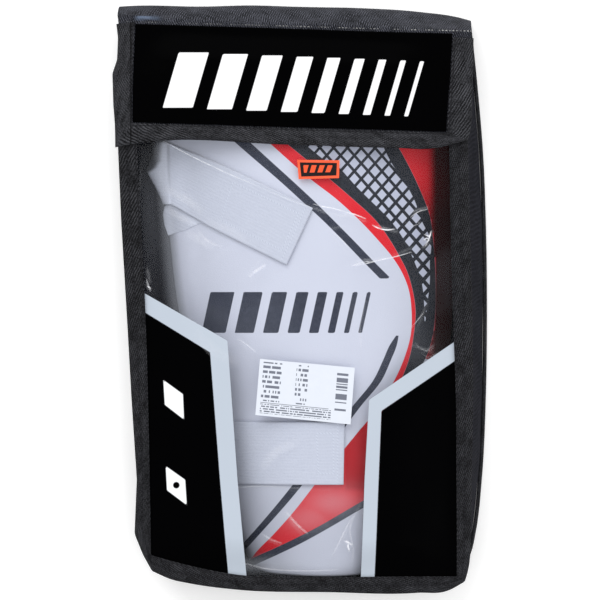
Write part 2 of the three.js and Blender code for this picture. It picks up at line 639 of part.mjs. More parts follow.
// Folded tape round the flap's left, lower and right edges.
function flapBinding() {
  const sidePair = (across, share) => {
    const first = (FLAP_TOP - ridgeShare(across)) * (POUCH_LENGTH / FLAP_DROP);
    const down = mix(first, read(FLAP_ENDS, "across", across, "bottom"), share);
    const near = mix(first, read(FLAP_ENDS, "across", across, "panelBottom"), 0.98 * share);
    const inner = read(FLAP_SIDES, "down", near, across ? "panelRight" : "panelLeft");
    return [flapPlace(across, down), [pouchX(inner), pouchY(FLAP_TOP) - near * FLAP_DROP]];
  };
  const endPair = (across) => {
    const [low, high] = ["bottom", "panelBottom"].map((key) => read(FLAP_ENDS, "across", across, key));
    const [left, right] = ["panelLeft", "panelRight"].map((key) => read(FLAP_SIDES, "down", high, key));
    return [flapPlace(across, low), [pouchX(mix(left, right, across)), pouchY(FLAP_TOP) - high * FLAP_DROP]];
  };
  const sideStops = FRONT_STOPS.slice(1, -1);
  const pairs = [
    ...sideStops.map((share) => sidePair(0, share)),
    ...FLAP_ACROSS.map(endPair),
    ...[...sideStops].reverse().map((share) => sidePair(1, share)),
  ];
  const outer = pairs.map(([edge]) => edge);
  const inner = pairs.map(([, near]) => near);
  const grown = inset(outer, -TAPE - GAP, false);
  const lift = 2.8 * GAP; // under its inner half, over the glossy sheet's edge
  const drawing = [[0, -CLOTH], [0, 0.1 * RIDGE], [0.08, 0.7 * RIDGE], [0.3, RIDGE], [0.5, 0.65 * RIDGE],
    [0.72, 0.95 * RIDGE], [1, 0.8 * RIDGE], [1, lift], ["fold", lift], ["fold", -CLOTH]];
  const sections = grown.map(([x, y], i) => {
    const width = Math.hypot(inner[i][0] - x, inner[i][1] - y);
    return drawing.map(([inward, up]) => {
      const share = inward === "fold" ? TAPE / width : inward;
      const [px, py] = [mix(x, inner[i][0], share), mix(y, inner[i][1], share)];
      return [px, py, flapTop(px, py) + up];
    });
  });
  const flat = drawing.map(([inward, up]) => [inward === "fold" ? 0.12 : inward, up]);
  return sweep(sections, false, flat);
}

// Glossy sheet sewn on the flap, inside its binding.
function flapPanel() {
  const shares = [0, 0.25, 0.5, 0.75, 1];
  const place = (across, key) => {
    const down = read(FLAP_ENDS, "across", across, key);
    const [left, right] = ["panelLeft", "panelRight"].map((side) => read(FLAP_SIDES, "down", down, side));
    return [pouchX(mix(left, right, across)), pouchY(FLAP_TOP) - down * FLAP_DROP];
  };
  const low = shares.map((across) => place(across, "panelBottom"));
  const high = shares.map((across) => place(across, "panelTop")).reverse();
  const outline = inset([...low, ...high], 2 * GAP, true);
  return trimmed(flapLayer(CLOTH + GAP, CLOTH + GAP + PANEL), outline);
}

// Guard: facing and foam, and the stripes painted on the facing.
const guardLayer = (low, high) => {
  const at = (lift) => (across, up) => {
    const [x, y] = onGuard(across, up);
    return [x, y, guardTop(x, y) + lift];
  };
  return sheet(GUARD_ACROSS, GUARD_UP, at(high), at(low));
};

function guardPad() {
  const at = (height) => (across, up) => {
    const [x, y] = onGuard(mix(0.004, 0.996, across), mix(0.002, 0.998, up));
    return [x, y, height(x, y)];
  };
  return sheet(GUARD_ACROSS, GUARD_UP, at((x, y) => guardTop(x, y) - FACING - GAP), at(guardUnder));
}

function stripe(rows) {
  const left = rows.map(({ up, left: share }) => [guardX(share), guardY(up)]);
  const right = rows.map(({ up, right: share }) => [guardX(share), guardY(up)]);
  return trimmed(guardLayer(GAP, GAP + PRINT), [...left, ...right.reverse()]);
}

function wedge(rows, lift) {
  const low = rows.map(({ across, low: share }) => [guardX(across), guardY(share)]);
  const high = rows.map(({ across, high: share }) => [guardX(across), guardY(share) - lift]);
  return trimmed(guardLayer(GAP, GAP + PRINT), [...low, ...high.reverse()]);
}

// Red side of the guard, from the black field to its right edge.
function redSide() {
  const rows = BLACK_FIELD.filter(({ up }) => up > 0.4 && up < 0.9);
  const left = rows.map(({ up, right }) => [guardX(right) + GAP, guardY(up)]);
  const right = rows.map(({ up }) => [guardX(read(GUARD_SIDES, "up", up, "right")) - BARE_EDGE, guardY(up)]);
  return trimmed(guardLayer(GAP, GAP + PRINT), [...left, ...right.reverse()]);
}

const narrowed = (rows) => rows.map((row) => ({ ...row, left: row.left + (2 * GAP) / GUARD_WIDTH }));

// Stations of a strap, counted from its end: the last on the front, on the bend, and behind
const STRAP_FRONT = 12;
const STRAP_BEND = 19;
const STRAP_BACK = 26;

// An elastic strap: its end on the facing, round the guard's left edge, straight behind it to the right.
function strap({ endAcross, endUp, edgeUp, slope, loose }) {
  const end = [guardX(endAcross), guardY(endUp)];
  const edgeY = guardY(edgeUp);
  const back = CLOTH + GAP;
  const stops = Array.from({ length: STRAP_BACK + 1 }, (_, i) => i);
  const at = (lift) => (across, stop) => {
    const aside = (0.5 - across) * ELASTIC_WIDTH;
    const y = edgeY + aside;
    const edgeX = guardX(read(GUARD_SIDES, "up", (y - GUARD_BOTTOM) / GUARD_LENGTH, "left")) + STRAP_TURN;
    const high = guardTop(edgeX, y) + STRAP_SEAT;
    const low = back + ELASTIC;
    if (stop <= STRAP_FRONT) {
      const share = stop / STRAP_FRONT;
      const angle = slope * (1 - ease(share * share));
      const x = mix(end[0], edgeX, share) + aside * Math.sin(angle);
      const place = mix(end[1], edgeY, share) + aside * Math.cos(angle);
      return [x, place, guardTop(Math.max(x, edgeX), place) + STRAP_SEAT + lift];
    }
    if (stop < STRAP_BEND) {
      const bend = ((stop - STRAP_FRONT) / (STRAP_BEND - STRAP_FRONT)) * Math.PI;
      const radius = (high - low) / 2;
      const slack = loose * Math.sin(across * Math.PI) * Math.sin(bend);
      const out = (STRAP_TURN + GAP + STRAP_PLAY + slack + lift) * Math.sin(bend);
      return [edgeX - out, y, (high + low) / 2 + (radius + lift) * Math.cos(bend)];
    }
    const share = (stop - STRAP_BEND) / (STRAP_BACK - STRAP_BEND);
    const far = guardX(read(GUARD_SIDES, "up", edgeUp, "right")) - 2 * STRAP_TURN;
    return [mix(edgeX, far, share), y, low - lift];
  };
  return sheet([0, 0.33, 0.67, 1], stops, at(ELASTIC), at(0));
}

const STRAP_UPPER = { endAcross: -0.056, endUp: 0.627, edgeUp: 0.746, slope: 0.435, loose: 6 };
const STRAP_LOWER = { endAcross: 0.245, endUp: 0.226, edgeUp: 0.2255, slope: 0.02, loose: 2 };

const NYLON = "#2c2c31";
const WHITE = "#cdd3e0";
const SLATE = "#353a4a";
const RED = "#d92a35";
const BLACK = "#0b0b0e";
const ORANGE = "#f2643a";

const part = new THREE.Group();
part.name = "cricket_thigh_guard_in_pouch";
part.add(
  mesh("pouch_back", pouchBack(), NYLON, 0.85),
  mesh("pouch_back_binding", backBinding(), NYLON, 0.9),
  mesh("pouch_gusset", gusset(), NYLON, 0.85),
  mesh("pouch_front_frame", frontFrame(), NYLON, 0.9),
  mesh("pouch_window", filmLayer(-FILM, 0), "#e9eef5", 0.12, 0, 0.3),
  mesh("print_left_border", printBorder(LEFT_PRINT), WHITE, 0.35),
  mesh("print_left", printPanel(LEFT_PRINT), BLACK, 0.3),
  mesh("print_right_border", printBorder(RIGHT_PRINT), WHITE, 0.35),
  mesh("print_right", printPanel(RIGHT_PRINT), BLACK, 0.3),
  mesh("print_lozenge_upper", lozenge(LOZENGE_UPPER), WHITE, 0.35),
  mesh("print_lozenge_lower", lozenge(LOZENGE_LOWER), WHITE, 0.35),
  mesh("sticker_white", sticker(WHITE_STICKER), "#e4e8f0", 0.5),
  mesh("sticker_orange_edge", band(SIZE_STICKER, STICKER_EDGE), ORANGE, 0.5),
  mesh("sticker_dark_field", field(SIZE_STICKER, STICKER_EDGE), "#2a2222", 0.5),
  mesh("flap_cloth", flapLayer(0, CLOTH), NYLON, 0.85),
  mesh("flap_binding", flapBinding(), NYLON, 0.9),
  mesh("flap_panel", flapPanel(), BLACK, 0.22),
  mesh("guard_pad", guardPad(), "#2f3136", 0.8),
  mesh("guard_facing", guardLayer(-FACING, 0), WHITE, 0.45),
  mesh("stripe_slate_upper", stripe(SLATE_UPPER), SLATE, 0.45),
  mesh("stripe_slate_lower", stripe(SLATE_LOWER), SLATE, 0.45),
  mesh("stripe_red_curve", stripe(RED_CURVE), RED, 0.4),
  mesh("stripe_black_field", stripe(narrowed(BLACK_FIELD)), "#23252b", 0.45),
  mesh("stripe_red_side", redSide(), RED, 0.4),
  mesh("stripe_red_wedge", wedge(RED_WEDGE, 0), RED, 0.4),
  mesh("stripe_wedge_line", wedge(WEDGE_LINE, GAP), SLATE, 0.45),
  mesh("strap_upper", strap(STRAP_UPPER), "#d9dde6", 0.8),
  mesh("strap_lower", strap(STRAP_LOWER), "#d9dde6", 0.8),
);

// The whole part, centred on its own outline and standing on the floor
const box = new THREE.Box3().setFromObject(part);
const middle = box.getCenter(new THREE.Vector3());
part.position.set(-middle.x, -middle.y, -box.min.z);

export default part;
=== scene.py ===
import math

import bmesh
import bpy
import numpy as np
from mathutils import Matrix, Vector


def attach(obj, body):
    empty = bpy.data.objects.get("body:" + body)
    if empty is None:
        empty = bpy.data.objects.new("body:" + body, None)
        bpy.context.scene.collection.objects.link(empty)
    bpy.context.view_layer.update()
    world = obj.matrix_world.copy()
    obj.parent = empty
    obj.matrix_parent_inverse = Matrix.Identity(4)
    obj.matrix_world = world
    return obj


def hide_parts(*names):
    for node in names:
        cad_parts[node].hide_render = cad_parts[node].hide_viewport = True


# Sizes in millimetres, as in the part
WIDTH, LENGTH = 278.6, 442.5
SEAT, CLOTH, TAPE, LIP, RIDGE = 42.0, 1.6, 1.2, 5.0, 1.9
FILM_RISE, CORD, CORD_H, GAP = 8.2, 3.0, 5.5, 0.3
DROP, FLAP_TOP, PANEL, PRINT = 93.75, 0.968, 1.0, 0.4
G_WIDTH, G_LENGTH, G_SHIFT, G_BOTTOM = 221.3, 405.4, 5.9, -208.1
ARCH, END_DROP, ROLL, PAD_EDGE, FACING = 34.0, 7.0, 3.0, 7.0, 1.6
ELASTIC_W, ELASTIC = 47.0, 1.5
STRAP_SEAT = GAP + PRINT + GAP
# millimetres in a pixel of the photograph, and the place of the origin in it, in pixels
PIXEL, MIDDLE = 0.75, (300.15, 298.0)


class Table:
    """Rows with named columns, each read against the first one, as a soft curve through the rows."""

    def __init__(self, keys, rows):
        self.keys, self.rows = keys.split(), np.array(rows, float)

    def __call__(self, at, want, smooth=True):
        x, y = self.rows[:, 0], self.rows[:, self.keys.index(want)]
        at = np.clip(np.asarray(at, float), x[0], x[-1])
        if not smooth:
            return np.interp(at, x, y)
        m = np.gradient(y, x)
        i = np.clip(np.searchsorted(x, at, side="right") - 1, 0, len(x) - 2)
        h = x[i + 1] - x[i]
        s = (at - x[i]) / h
        return ((1 + 2 * s) * (1 - s) ** 2 * y[i] + s * (1 - s) ** 2 * h * m[i]
                + s * s * (3 - 2 * s) * y[i + 1] + s * s * (s - 1) * h * m[i + 1])


SIDES = Table("up left paneLeft paneRight right backLeft backRight", [
    (0, -0.798, -0.803, 0.844, 0.866, -0.755, 0.834), (0.037, -0.798, -0.803, 0.844, 0.904, -0.765, 0.893),
    (0.064, -0.846, -0.803, 0.844, 0.917, -0.808, 0.931), (0.1, -0.892, -0.805, 0.844, 0.92, -0.83, 0.957),
    (0.192, -0.88, -0.81, 0.842, 0.925, -0.841, 0.99), (0.327, -0.908, -0.819, 0.839, 0.931, -0.868, 1.011),
    (0.446, -0.929, -0.83, 0.826, 0.928, -0.889, 1.017), (0.632, -0.964, -0.857, 0.809, 0.914, -0.921, 1.011),
    (0.754, -0.981, -0.879, 0.803, 0.904, -0.938, 0.995),
    (0.836, -0.978, -0.894, 0.801, 0.901, -0.954, 0.974), (0.941, -0.972, -0.894, 0.801, 0.901, -0.97, 0.941),
    (1, -0.97, -0.894, 0.801, 0.901, -0.975, 0.92),
])
ENDS = Table("across bottom paneBottom paneTop backBottom backTop ridge", [
    (0, 0.037, 0.064, 0.944, 0.046, 0.992, 0.98), (0.06, 0.023, 0.055, 0.946, 0.034, 0.994, 0.978),
    (0.12, 0.016, 0.047, 0.947, 0.025, 0.996, 0.975), (0.28, 0.005, 0.031, 0.949, 0.015, 0.998, 0.969),
    (0.57, 0.001, 0.027, 0.949, 0.012, 0.998, 0.964), (0.86, 0, 0.028, 0.944, 0.012, 0.99, 0.956),
    (0.965, 0.006, 0.028, 0.941, 0.019, 0.981, 0.954), (1, 0.019, 0.028, 0.939, 0.032, 0.975, 0.953),
])
FLAP_SIDES = Table("down left right panelLeft panelRight", [
    (-0.056, -0.983, 0.922, -0.888, 0.826), (0.128, -0.969, 0.922, -0.894, 0.822),
    (0.304, -0.974, 0.919, -0.899, 0.816), (0.416, -0.999, 0.917, -0.902, 0.811),
    (0.664, -0.994, 0.913, -0.906, 0.799), (0.816, -0.986, 0.908, -0.905, 0.792),
    (0.928, -0.984, 0.894, -0.904, 0.788), (1, -0.984, 0.866, -0.903, 0.785),
])
FLAP_ENDS = Table("across bottom panelBottom panelTop", [
    (0, 0.984, 0.811, 0.01), (0.06, 0.955, 0.816, 0.015), (0.5, 0.968, 0.852, 0.05),
    (0.8, 0.992, 0.874, 0.075), (0.93, 0.99, 0.883, 0.083), (1, 0.93, 0.888, 0.088),
])
GUARD_SIDES = Table("up left right", [
    (0, -0.353, 0.576), (0.029, -0.407, 0.651), (0.056, -0.454, 0.705), (0.101, -0.515, 0.759),
    (0.199, -0.631, 0.841), (0.395, -0.814, 0.963), (0.495, -0.888, 0.99), (0.639, -0.949, 0.99),
    (0.787, -0.99, 0.965), (0.88, -0.99, 0.93), (0.935, -0.97, 0.9), (0.983, -0.902, 0.841), (1, -0.88, 0.82),
])
GUARD_ENDS = Table("across bottom top", [
    (0, 0.012, 0.972), (0.08, 0.004, 0.985), (0.25, 0, 0.995), (0.75, 0, 0.995), (0.92, 0.004, 0.985),
    (1, 0.012, 0.972),
])

# Painted stripes: (up, left, right) or (across, low, high), in shares of the guard
SLATE_UPPER = [
    (0.954, -1.02, -0.93), (0.88, -0.792, -0.69), (0.804, -0.504, -0.402), (0.7686, -0.356, -0.261),
    (0.7316, -0.199, -0.112), (0.6946, -0.05, 0.0336), (0.6576, 0.0981, 0.171), (0.6206, 0.234, 0.306),
    (0.5836, 0.365, 0.437), (0.5494, 0.488, 0.564),
]
RED_CURVE = [
    (0.954, -0.84, -0.758), (0.88, -0.609, -0.515), (0.804, -0.278, -0.167), (0.728, 0.041, 0.171),
    (0.7, 0.176, 0.29), (0.658, 0.346, 0.457), (0.619, 0.481, 0.562), (0.593, 0.563, 0.618),
    (0.565, 0.631, 0.671), (0.536, 0.678, 0.705), (0.489, 0.705, 0.733), (0.443, 0.698, 0.719),
    (0.404, 0.658, 0.692), (0.362, 0.59, 0.635), (0.325, 0.508, 0.569),
]
BLACK_RIGHT = [
    (0.954, 0.25), (0.88, 0.434), (0.804, 0.593), (0.759, 0.685), (0.721, 0.753), (0.663, 0.834),
    (0.619, 0.855), (0.536, 0.872), (0.489, 0.87), (0.443, 0.851), (0.404, 0.806), (0.362, 0.719),
    (0.325, 0.624),
]
NET = [
    (0.86, -0.3, 0.4), (0.828, -0.156, 0.461), (0.793, 0.0, 0.513), (0.761, 0.143, 0.574),
    (0.728, 0.292, 0.658), (0.695, 0.42, 0.725), (0.658, 0.556, 0.773), (0.621, 0.654, 0.837),
    (0.58, 0.726, 0.831), (0.545, 0.772, 0.831), (0.502, 0.792, 0.814), (0.469, 0.793, 0.8),
]
SLATE_LOWER = [
    (0.444, 0.6, 0.617), (0.426, 0.556, 0.604), (0.3986, 0.511, 0.564), (0.36, 0.441, 0.498),
    (0.314, 0.305, 0.361), (0.232, 0.068, 0.136), (0.166, -0.108, -0.043), (0.061, -0.427, -0.373),
    (0.02, -0.56, -0.505),
]
RED_WEDGE = [
    (-0.39, 0.026, 0.027), (-0.366, 0.03, 0.036), (-0.237, 0.0475, 0.074), (-0.108, 0.065, 0.114),
    (0.081, 0.092, 0.18), (0.258, 0.12, 0.238), (0.4, 0.142, 0.284), (0.569, 0.166, 0.325),
]
WEDGE_LINE = [
    (-0.45, 0.002, 0.016), (-0.376, 0.0138, 0.0286), (-0.214, 0.036, 0.0508), (-0.0545, 0.058, 0.073),
    (0.152, 0.0895, 0.1045), (0.352, 0.121, 0.136), (0.569, 0.152, 0.167),
]

LEFT_OUT = [(-0.86, 0.512), (-0.39, 0.428), (-0.336, 0.192), (-0.28, 0.0)]
LEFT_EDGE = [(-0.86, 0.48), (-0.484, 0.408), (-0.431, 0.192), (-0.379, 0.0)]
RIGHT_OUT = [(0.87, 0.434), (0.37, 0.328), (0.346, 0.192), (0.324, 0.0)]
RIGHT_EDGE = [(0.87, 0.401), (0.437, 0.309), (0.422, 0.192), (0.398, 0.0)]
LOZENGES = [[(-0.737, 0.361), (-0.631, 0.337), (-0.625, 0.294), (-0.729, 0.319)],
            [(-0.724, 0.215), (-0.619, 0.192), (-0.61, 0.149), (-0.717, 0.174)]]
WHITE_STICKER = [(-0.216, 0.397), (0.294, 0.382), (0.271, 0.286), (-0.241, 0.302)]
SIZE_STICKER = [(-0.016, 0.734), (0.212, 0.733), (0.209, 0.703), (-0.008, 0.701)]

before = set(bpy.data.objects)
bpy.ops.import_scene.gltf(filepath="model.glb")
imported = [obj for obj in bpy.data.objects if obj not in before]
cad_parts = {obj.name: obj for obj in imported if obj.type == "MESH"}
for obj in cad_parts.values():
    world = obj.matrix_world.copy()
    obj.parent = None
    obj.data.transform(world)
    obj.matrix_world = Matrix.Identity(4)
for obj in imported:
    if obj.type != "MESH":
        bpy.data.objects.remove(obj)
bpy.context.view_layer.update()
M = 0.001


# Curves and places
def mix(a, b, s):
    return a + (b - a) * s


def ease(s):
    s = np.clip(s, 0, 1)
    return s * s * (3 - 2 * s)


def bell(x, width):
    return np.exp(-(x / width) ** 2)


def run_along(points):
    """The distance run at each point of a path."""
    return np.concatenate([[0], np.cumsum(np.linalg.norm(np.diff(points, axis=0), axis=1))])


def pouch_x(s):
    return np.asarray(s) * WIDTH / 2


def pouch_y(s):
    return (np.asarray(s) - 0.5) * LENGTH


def places(shares):
    """Millimetres of places given in shares of the pouch."""
    return [(float(pouch_x(a)), float(pouch_y(b))) for a, b in shares]


FRONT = ("left", "right", "bottom", "ridge")
PANE = ("paneLeft", "paneRight", "paneBottom", "paneTop")
BACK = ("backLeft", "backRight", "backBottom", "backTop")


def on_pouch(sides, u, v):
    left, right, low, high = sides
    held = np.clip(u, 0, 1)
    up = mix(ENDS(held, low), ENDS(held, high), v)
    soft = left == "paneLeft"
    x = mix(SIDES(up, left, soft), SIDES(up, right), u)
    return pouch_x(x), pouch_y(up)


def swell(x, y):
    up = y / LENGTH + 0.5
    left = pouch_x(SIDES(up, "paneLeft"))
    right = pouch_x(SIDES(up, "paneRight"))
    u = np.clip((x - left) / (right - left), 0, 1)
    low, high = (pouch_y(ENDS(u, k)) for k in ("paneBottom", "paneTop"))
    v = (y - low) / (high - low)
    return ease(np.minimum(u, 1 - u) / 0.22) * ease(np.minimum(v, 1 - v) / 0.07)


FILM_EDGE = SEAT - TAPE - GAP


def film_top(x, y):
    return FILM_EDGE + FILM_RISE * swell(x, y)


FLAP_SEAT = SEAT + RIDGE + GAP
FLAP_RISE = FILM_EDGE + FILM_RISE + 2 * GAP - FLAP_SEAT


def flap_y(down):
    return pouch_y(FLAP_TOP) - down * DROP


def soft_ramp(s, a, b):
    return ease((s - a + 0.02) / (b - a + 0.04))


def flap_first(u):
    return (FLAP_TOP - ENDS(u, "ridge")) * (LENGTH / DROP)


def flap_under(x, y):
    down = (pouch_y(FLAP_TOP) - y) / DROP
    left = pouch_x(FLAP_SIDES(down, "left"))
    right = pouch_x(FLAP_SIDES(down, "right"))
    u = (x - left) / (right - left)
    first = flap_first(np.clip(u, 0, 1))
    along = (down - first) / (FLAP_ENDS(np.clip(u, 0, 1), "bottom") - first)
    rise = FLAP_RISE * soft_ramp(u, 0.045, 0.18) * soft_ramp(1 - u, 0.063, 0.2)
    return FLAP_SEAT + rise * soft_ramp(along, 0.1, 0.34)


def flap_top(x, y):
    return flap_under(x, y) + CLOTH


CROWN = CLOTH + GAP + ELASTIC + GAP + PAD_EDGE + ARCH


def guard_x(s):
    return G_SHIFT + np.asarray(s) * G_WIDTH / 2


def guard_y(s):
    return G_BOTTOM + np.asarray(s) * G_LENGTH


def guard_side(y, side="left"):
    """The guard's outline at a height in millimetres."""
    return guard_x(GUARD_SIDES((y - G_BOTTOM) / G_LENGTH, side))


def on_guard(u, v):
    up = mix(GUARD_ENDS(u, "bottom"), GUARD_ENDS(u, "top"), v)
    x = mix(GUARD_SIDES(up, "left"), GUARD_SIDES(up, "right"), u)
    return guard_x(x), guard_y(up)


def guard_top(x, y):
    left, right = guard_side(y), guard_side(y, "right")
    s, t = (2 * x - left - right) / (right - left), 2 * ((y - G_BOTTOM) / G_LENGTH) - 1
    drop = ARCH * (0.62 + 0.38 * np.cos(t * np.pi / 2.4))
    return CROWN - drop * s ** 2 - ROLL * np.abs(s) ** 16 - END_DROP * np.abs(t) ** 8


# Meshes
def make(name, points, faces, attrs=None, turn=False):
    me = bpy.data.meshes.new(name)
    me.from_pydata((np.asarray(points, float).reshape(-1, 3) * M).tolist(), [], faces)
    for key, values in (attrs or {}).items():
        a = me.attributes.new(key, "FLOAT", "POINT")
        a.data.foreach_set("value", np.asarray(values, np.float32).ravel())
    me.validate()
    me.update()
    if turn:
        bm_fix(me)
    me.polygons.foreach_set("use_smooth", [True] * len(me.polygons))
    o = bpy.data.objects.new(name, me)
    bpy.context.scene.collection.objects.link(o)
    return o


def grid_faces(rows, cols, start=0, flip=False):
    R, C = np.meshgrid(np.arange(rows - 1), np.arange(cols - 1), indexing="ij")
    a = start + R * cols + C
    b = a + 1
    d = a + cols
    e = b + cols
    f = np.stack([a, b, e, d], -1).reshape(-1, 4)
    return f[:, ::-1] if flip else f


def shell(name, top, bottom, attrs=None):
    """A closed thin piece between two grids of points; the attributes are given on the grid."""
    rows, cols = top.shape[:2]
    n = rows * cols
    faces = [grid_faces(rows, cols), grid_faces(rows, cols, n, True)]
    ring = np.concatenate([np.arange(cols), np.arange(1, rows) * cols + cols - 1,
                           (rows - 1) * cols + np.arange(cols - 2, -1, -1),
                           np.arange(rows - 2, 0, -1) * cols])
    nxt = np.roll(ring, -1)
    faces.append(np.stack([nxt, ring, ring + n, nxt + n], -1))
    attrs = {k: np.concatenate([np.ravel(v), np.ravel(v)]) for k, v in (attrs or {}).items()}
    return make(name, np.concatenate([top.reshape(-1, 3), bottom.reshape(-1, 3)]),
                np.concatenate(faces).tolist(), attrs)


def stack(x, y, z):
    return np.stack(np.broadcast_arrays(x, y, z), -1)


def resample(path, step, closed):
    """A path of any columns, in even steps of its first two."""
    path = np.asarray(path, float)
    if closed:
        path = np.concatenate([path, path[:1]])
    d = run_along(path[:, :2])
    n = max(8, int(d[-1] / step))
    at = np.linspace(0, d[-1], n + (0 if closed else 1), endpoint=not closed)
    return np.stack([np.interp(at, d, path[:, i]) for i in range(path.shape[1])], -1), at, d[-1]


def outline(shape, closed=True, top=1.0, n=160):
    s = np.linspace(0, 1, n)
    z, o = np.zeros(n), np.ones(n)
    runs = [(z, top * (1 - s)), (s, z), (o, top * s)] + ([(1 - s, o)] if closed else [])
    pts = np.concatenate([np.stack(on_pouch(shape, u, v), -1)[:-1] for u, v in runs])
    if not closed:
        pts = np.concatenate([pts, np.stack(on_pouch(shape, np.array([1.0]), np.array([top])), -1)])
    return pts


def inset(points, distance, closed):
    p = np.asarray(points, float)
    prev, nxt = np.roll(p, 1, 0), np.roll(p, -1, 0)
    if not closed:
        prev[0], nxt[-1] = p[0] - (p[1] - p[0]), p[-1] + (p[-1] - p[-2])

    def normal(a, b):
        d = b - a
        length = np.maximum(np.linalg.norm(d, axis=1, keepdims=True), 1e-9)
        return np.stack([-d[:, 1], d[:, 0]], -1) / length

    n1, n2 = normal(prev, p), normal(p, nxt)
    share = distance / np.maximum(0.6, 1 + (n1 * n2).sum(1, keepdims=True))
    return p + (n1 + n2) * share


def sweep(name, rails, section, closed, lift, wobble=0.0, seed=0):
    """A section carried from an outer to an inner rail, with run, in millimetres, and side, 0 to 1."""
    both, at, total = resample(np.concatenate(rails, 1), 1.6, closed)
    outer, inner = both[:, :2], both[:, 2:]
    width = np.linalg.norm(inner - outer, axis=1)
    sec = [section(w) for w in width]
    sx = np.array([[q[0] for q in s] for s in sec])
    sz = np.array([[q[1] for q in s] for s in sec])
    x = outer[:, None, 0] + (inner - outer)[:, None, 0] * sx
    y = outer[:, None, 1] + (inner - outer)[:, None, 1] * sx
    z = lift(x, y) + sz
    if wobble:
        rng = np.random.default_rng(seed)
        k = np.zeros(len(at))
        for f in (3, 7, 13, 23, 41, 67):
            k += np.sin(2 * np.pi * f * at / total + rng.uniform(0, 6.28)) * rng.uniform(0.4, 1) / f ** 0.35
        z = z + wobble * k[:, None] * np.clip(sz > 0.2, 0, 1) * 0.5
    pts = np.stack([x, y, z], -1)
    n, m = x.shape
    idx = np.arange(n * m).reshape(n, m)
    rows = n if closed else n - 1
    faces = []
    for i in range(rows):
        j = (i + 1) % n
        a, b = idx[i], idx[j]
        faces.append(np.stack([a, np.roll(a, -1), np.roll(b, -1), b], -1))
    faces = np.concatenate(faces).tolist()
    if not closed:
        faces += [idx[0][::-1].tolist(), idx[-1].tolist()]
    return make(name, pts, faces, {"run": np.repeat(at, m), "side": sx.ravel()}, turn=True)


def bm_fix(me):
    """Face every polygon out."""
    b = bmesh.new()
    b.from_mesh(me)
    bmesh.ops.recalc_face_normals(b, faces=b.faces)
    b.to_mesh(me)
    b.free()


def tape_profile(lip, under):
    """A folded tape: rounded outer edge, two soft swells with a seam between them, thin inner edge."""

    def section(width):
        fold = TAPE / width
        top = []
        for s in np.linspace(0.0, 1.0, 22):
            puff = 0.55 * RIDGE * bell(s - 0.25, 0.2) + 0.5 * RIDGE * bell(s - 0.72, 0.2)
            seam = -0.5 * bell(s - 0.47, 0.03) - 0.4 * bell(s - 0.9, 0.03)
            edge = ease(s / 0.12) * ease((1.06 - s) / 0.1)
            top.append((float(s), float((0.55 + puff + seam) * edge)))
        return [(0.0, -lip), (-0.01, -lip * 0.5)] + top + [(1.0, -under), (fold, -under), (fold, -lip)]

    return section


# Signed distances, in millimetres
def segment(x, y, a, b):
    """The distance to a segment, and how far along it the nearest place is, 0 to 1."""
    (ax, ay), dx, dy = a, b[0] - a[0], b[1] - a[1]
    t = np.clip(((x - ax) * dx + (y - ay) * dy) / (dx * dx + dy * dy), 0, 1)
    return np.hypot(x - ax - t * dx, y - ay - t * dy), t


def poly_sdf(x, y, points):
    """Distance into a polygon: positive inside."""
    d = np.full(np.shape(x), 1e9)
    inside = np.zeros(np.shape(x), bool)
    n = len(points)
    for i in range(n):
        a, b = points[i], points[(i + 1) % n]
        d = np.minimum(d, segment(x, y, a, b)[0])
        cross = (a[1] > y) != (b[1] > y)
        with np.errstate(divide="ignore", invalid="ignore"):
            inside ^= cross & (x < (b[0] - a[0]) * (y - a[1]) / (b[1] - a[1]) + a[0])
    return np.where(inside, d, -d)


def rows_sdf(x, y, rows):
    """Distance into a stripe given by its left and right edges against height."""
    t = np.array(sorted(rows))
    yy = guard_y(t[:, 0])
    c = np.array([yy, guard_x(t[:, 1]), guard_x(t[:, 2])]).T
    left, right = (Table("y l r", c)(y, k) for k in "lr")
    slope = np.hypot(1, np.gradient(np.interp(np.linspace(yy[0], yy[-1], 60), yy, c[:, 1]),
                                    (yy[-1] - yy[0]) / 59))
    f = 1 / np.interp(y, np.linspace(yy[0], yy[-1], 60), slope)
    return np.minimum(np.minimum((x - left) * f, (right - x) * f), np.minimum(y - yy[0], yy[-1] - y))


def cols_sdf(x, y, cols):
    t = np.array(sorted(cols))
    xx = guard_x(t[:, 0])
    c = np.array([xx, guard_y(t[:, 1]), guard_y(t[:, 2])]).T
    low, high = (Table("x l h", c)(x, k) for k in "lh")
    return np.minimum(np.minimum((y - low) * 0.8, (high - y) * 0.8), x - xx[0])


def px(x, y):
    """A place read off the photograph, in pixels of it, as millimetres of the part."""
    return (x - MIDDLE[0]) * PIXEL, (MIDDLE[1] - y) * PIXEL


def photo(x, y):
    """Millimetres of the part as pixels of the photograph."""
    return x / PIXEL + MIDDLE[0], MIDDLE[1] - y / PIXEL


# Materials
class Value:
    """An output of a node: signs between values, or a value and a number, make maths nodes."""

    def __init__(self, tree, socket):
        self.tree, self.socket = tree, socket

    def __abs__(self):
        return self.tree.math("ABSOLUTE", self)

    def __lt__(self, other):
        return self.tree.math("LESS_THAN", self, other)

    def __gt__(self, other):
        return self.tree.math("GREATER_THAN", self, other)


for sign, operation in (("add", "ADD"), ("sub", "SUBTRACT"), ("mul", "MULTIPLY"), ("truediv", "DIVIDE")):
    setattr(Value, f"__{sign}__", lambda a, b, op=operation: a.tree.math(op, a, b))
    setattr(Value, f"__r{sign}__", lambda b, a, op=operation: b.tree.math(op, a, b))


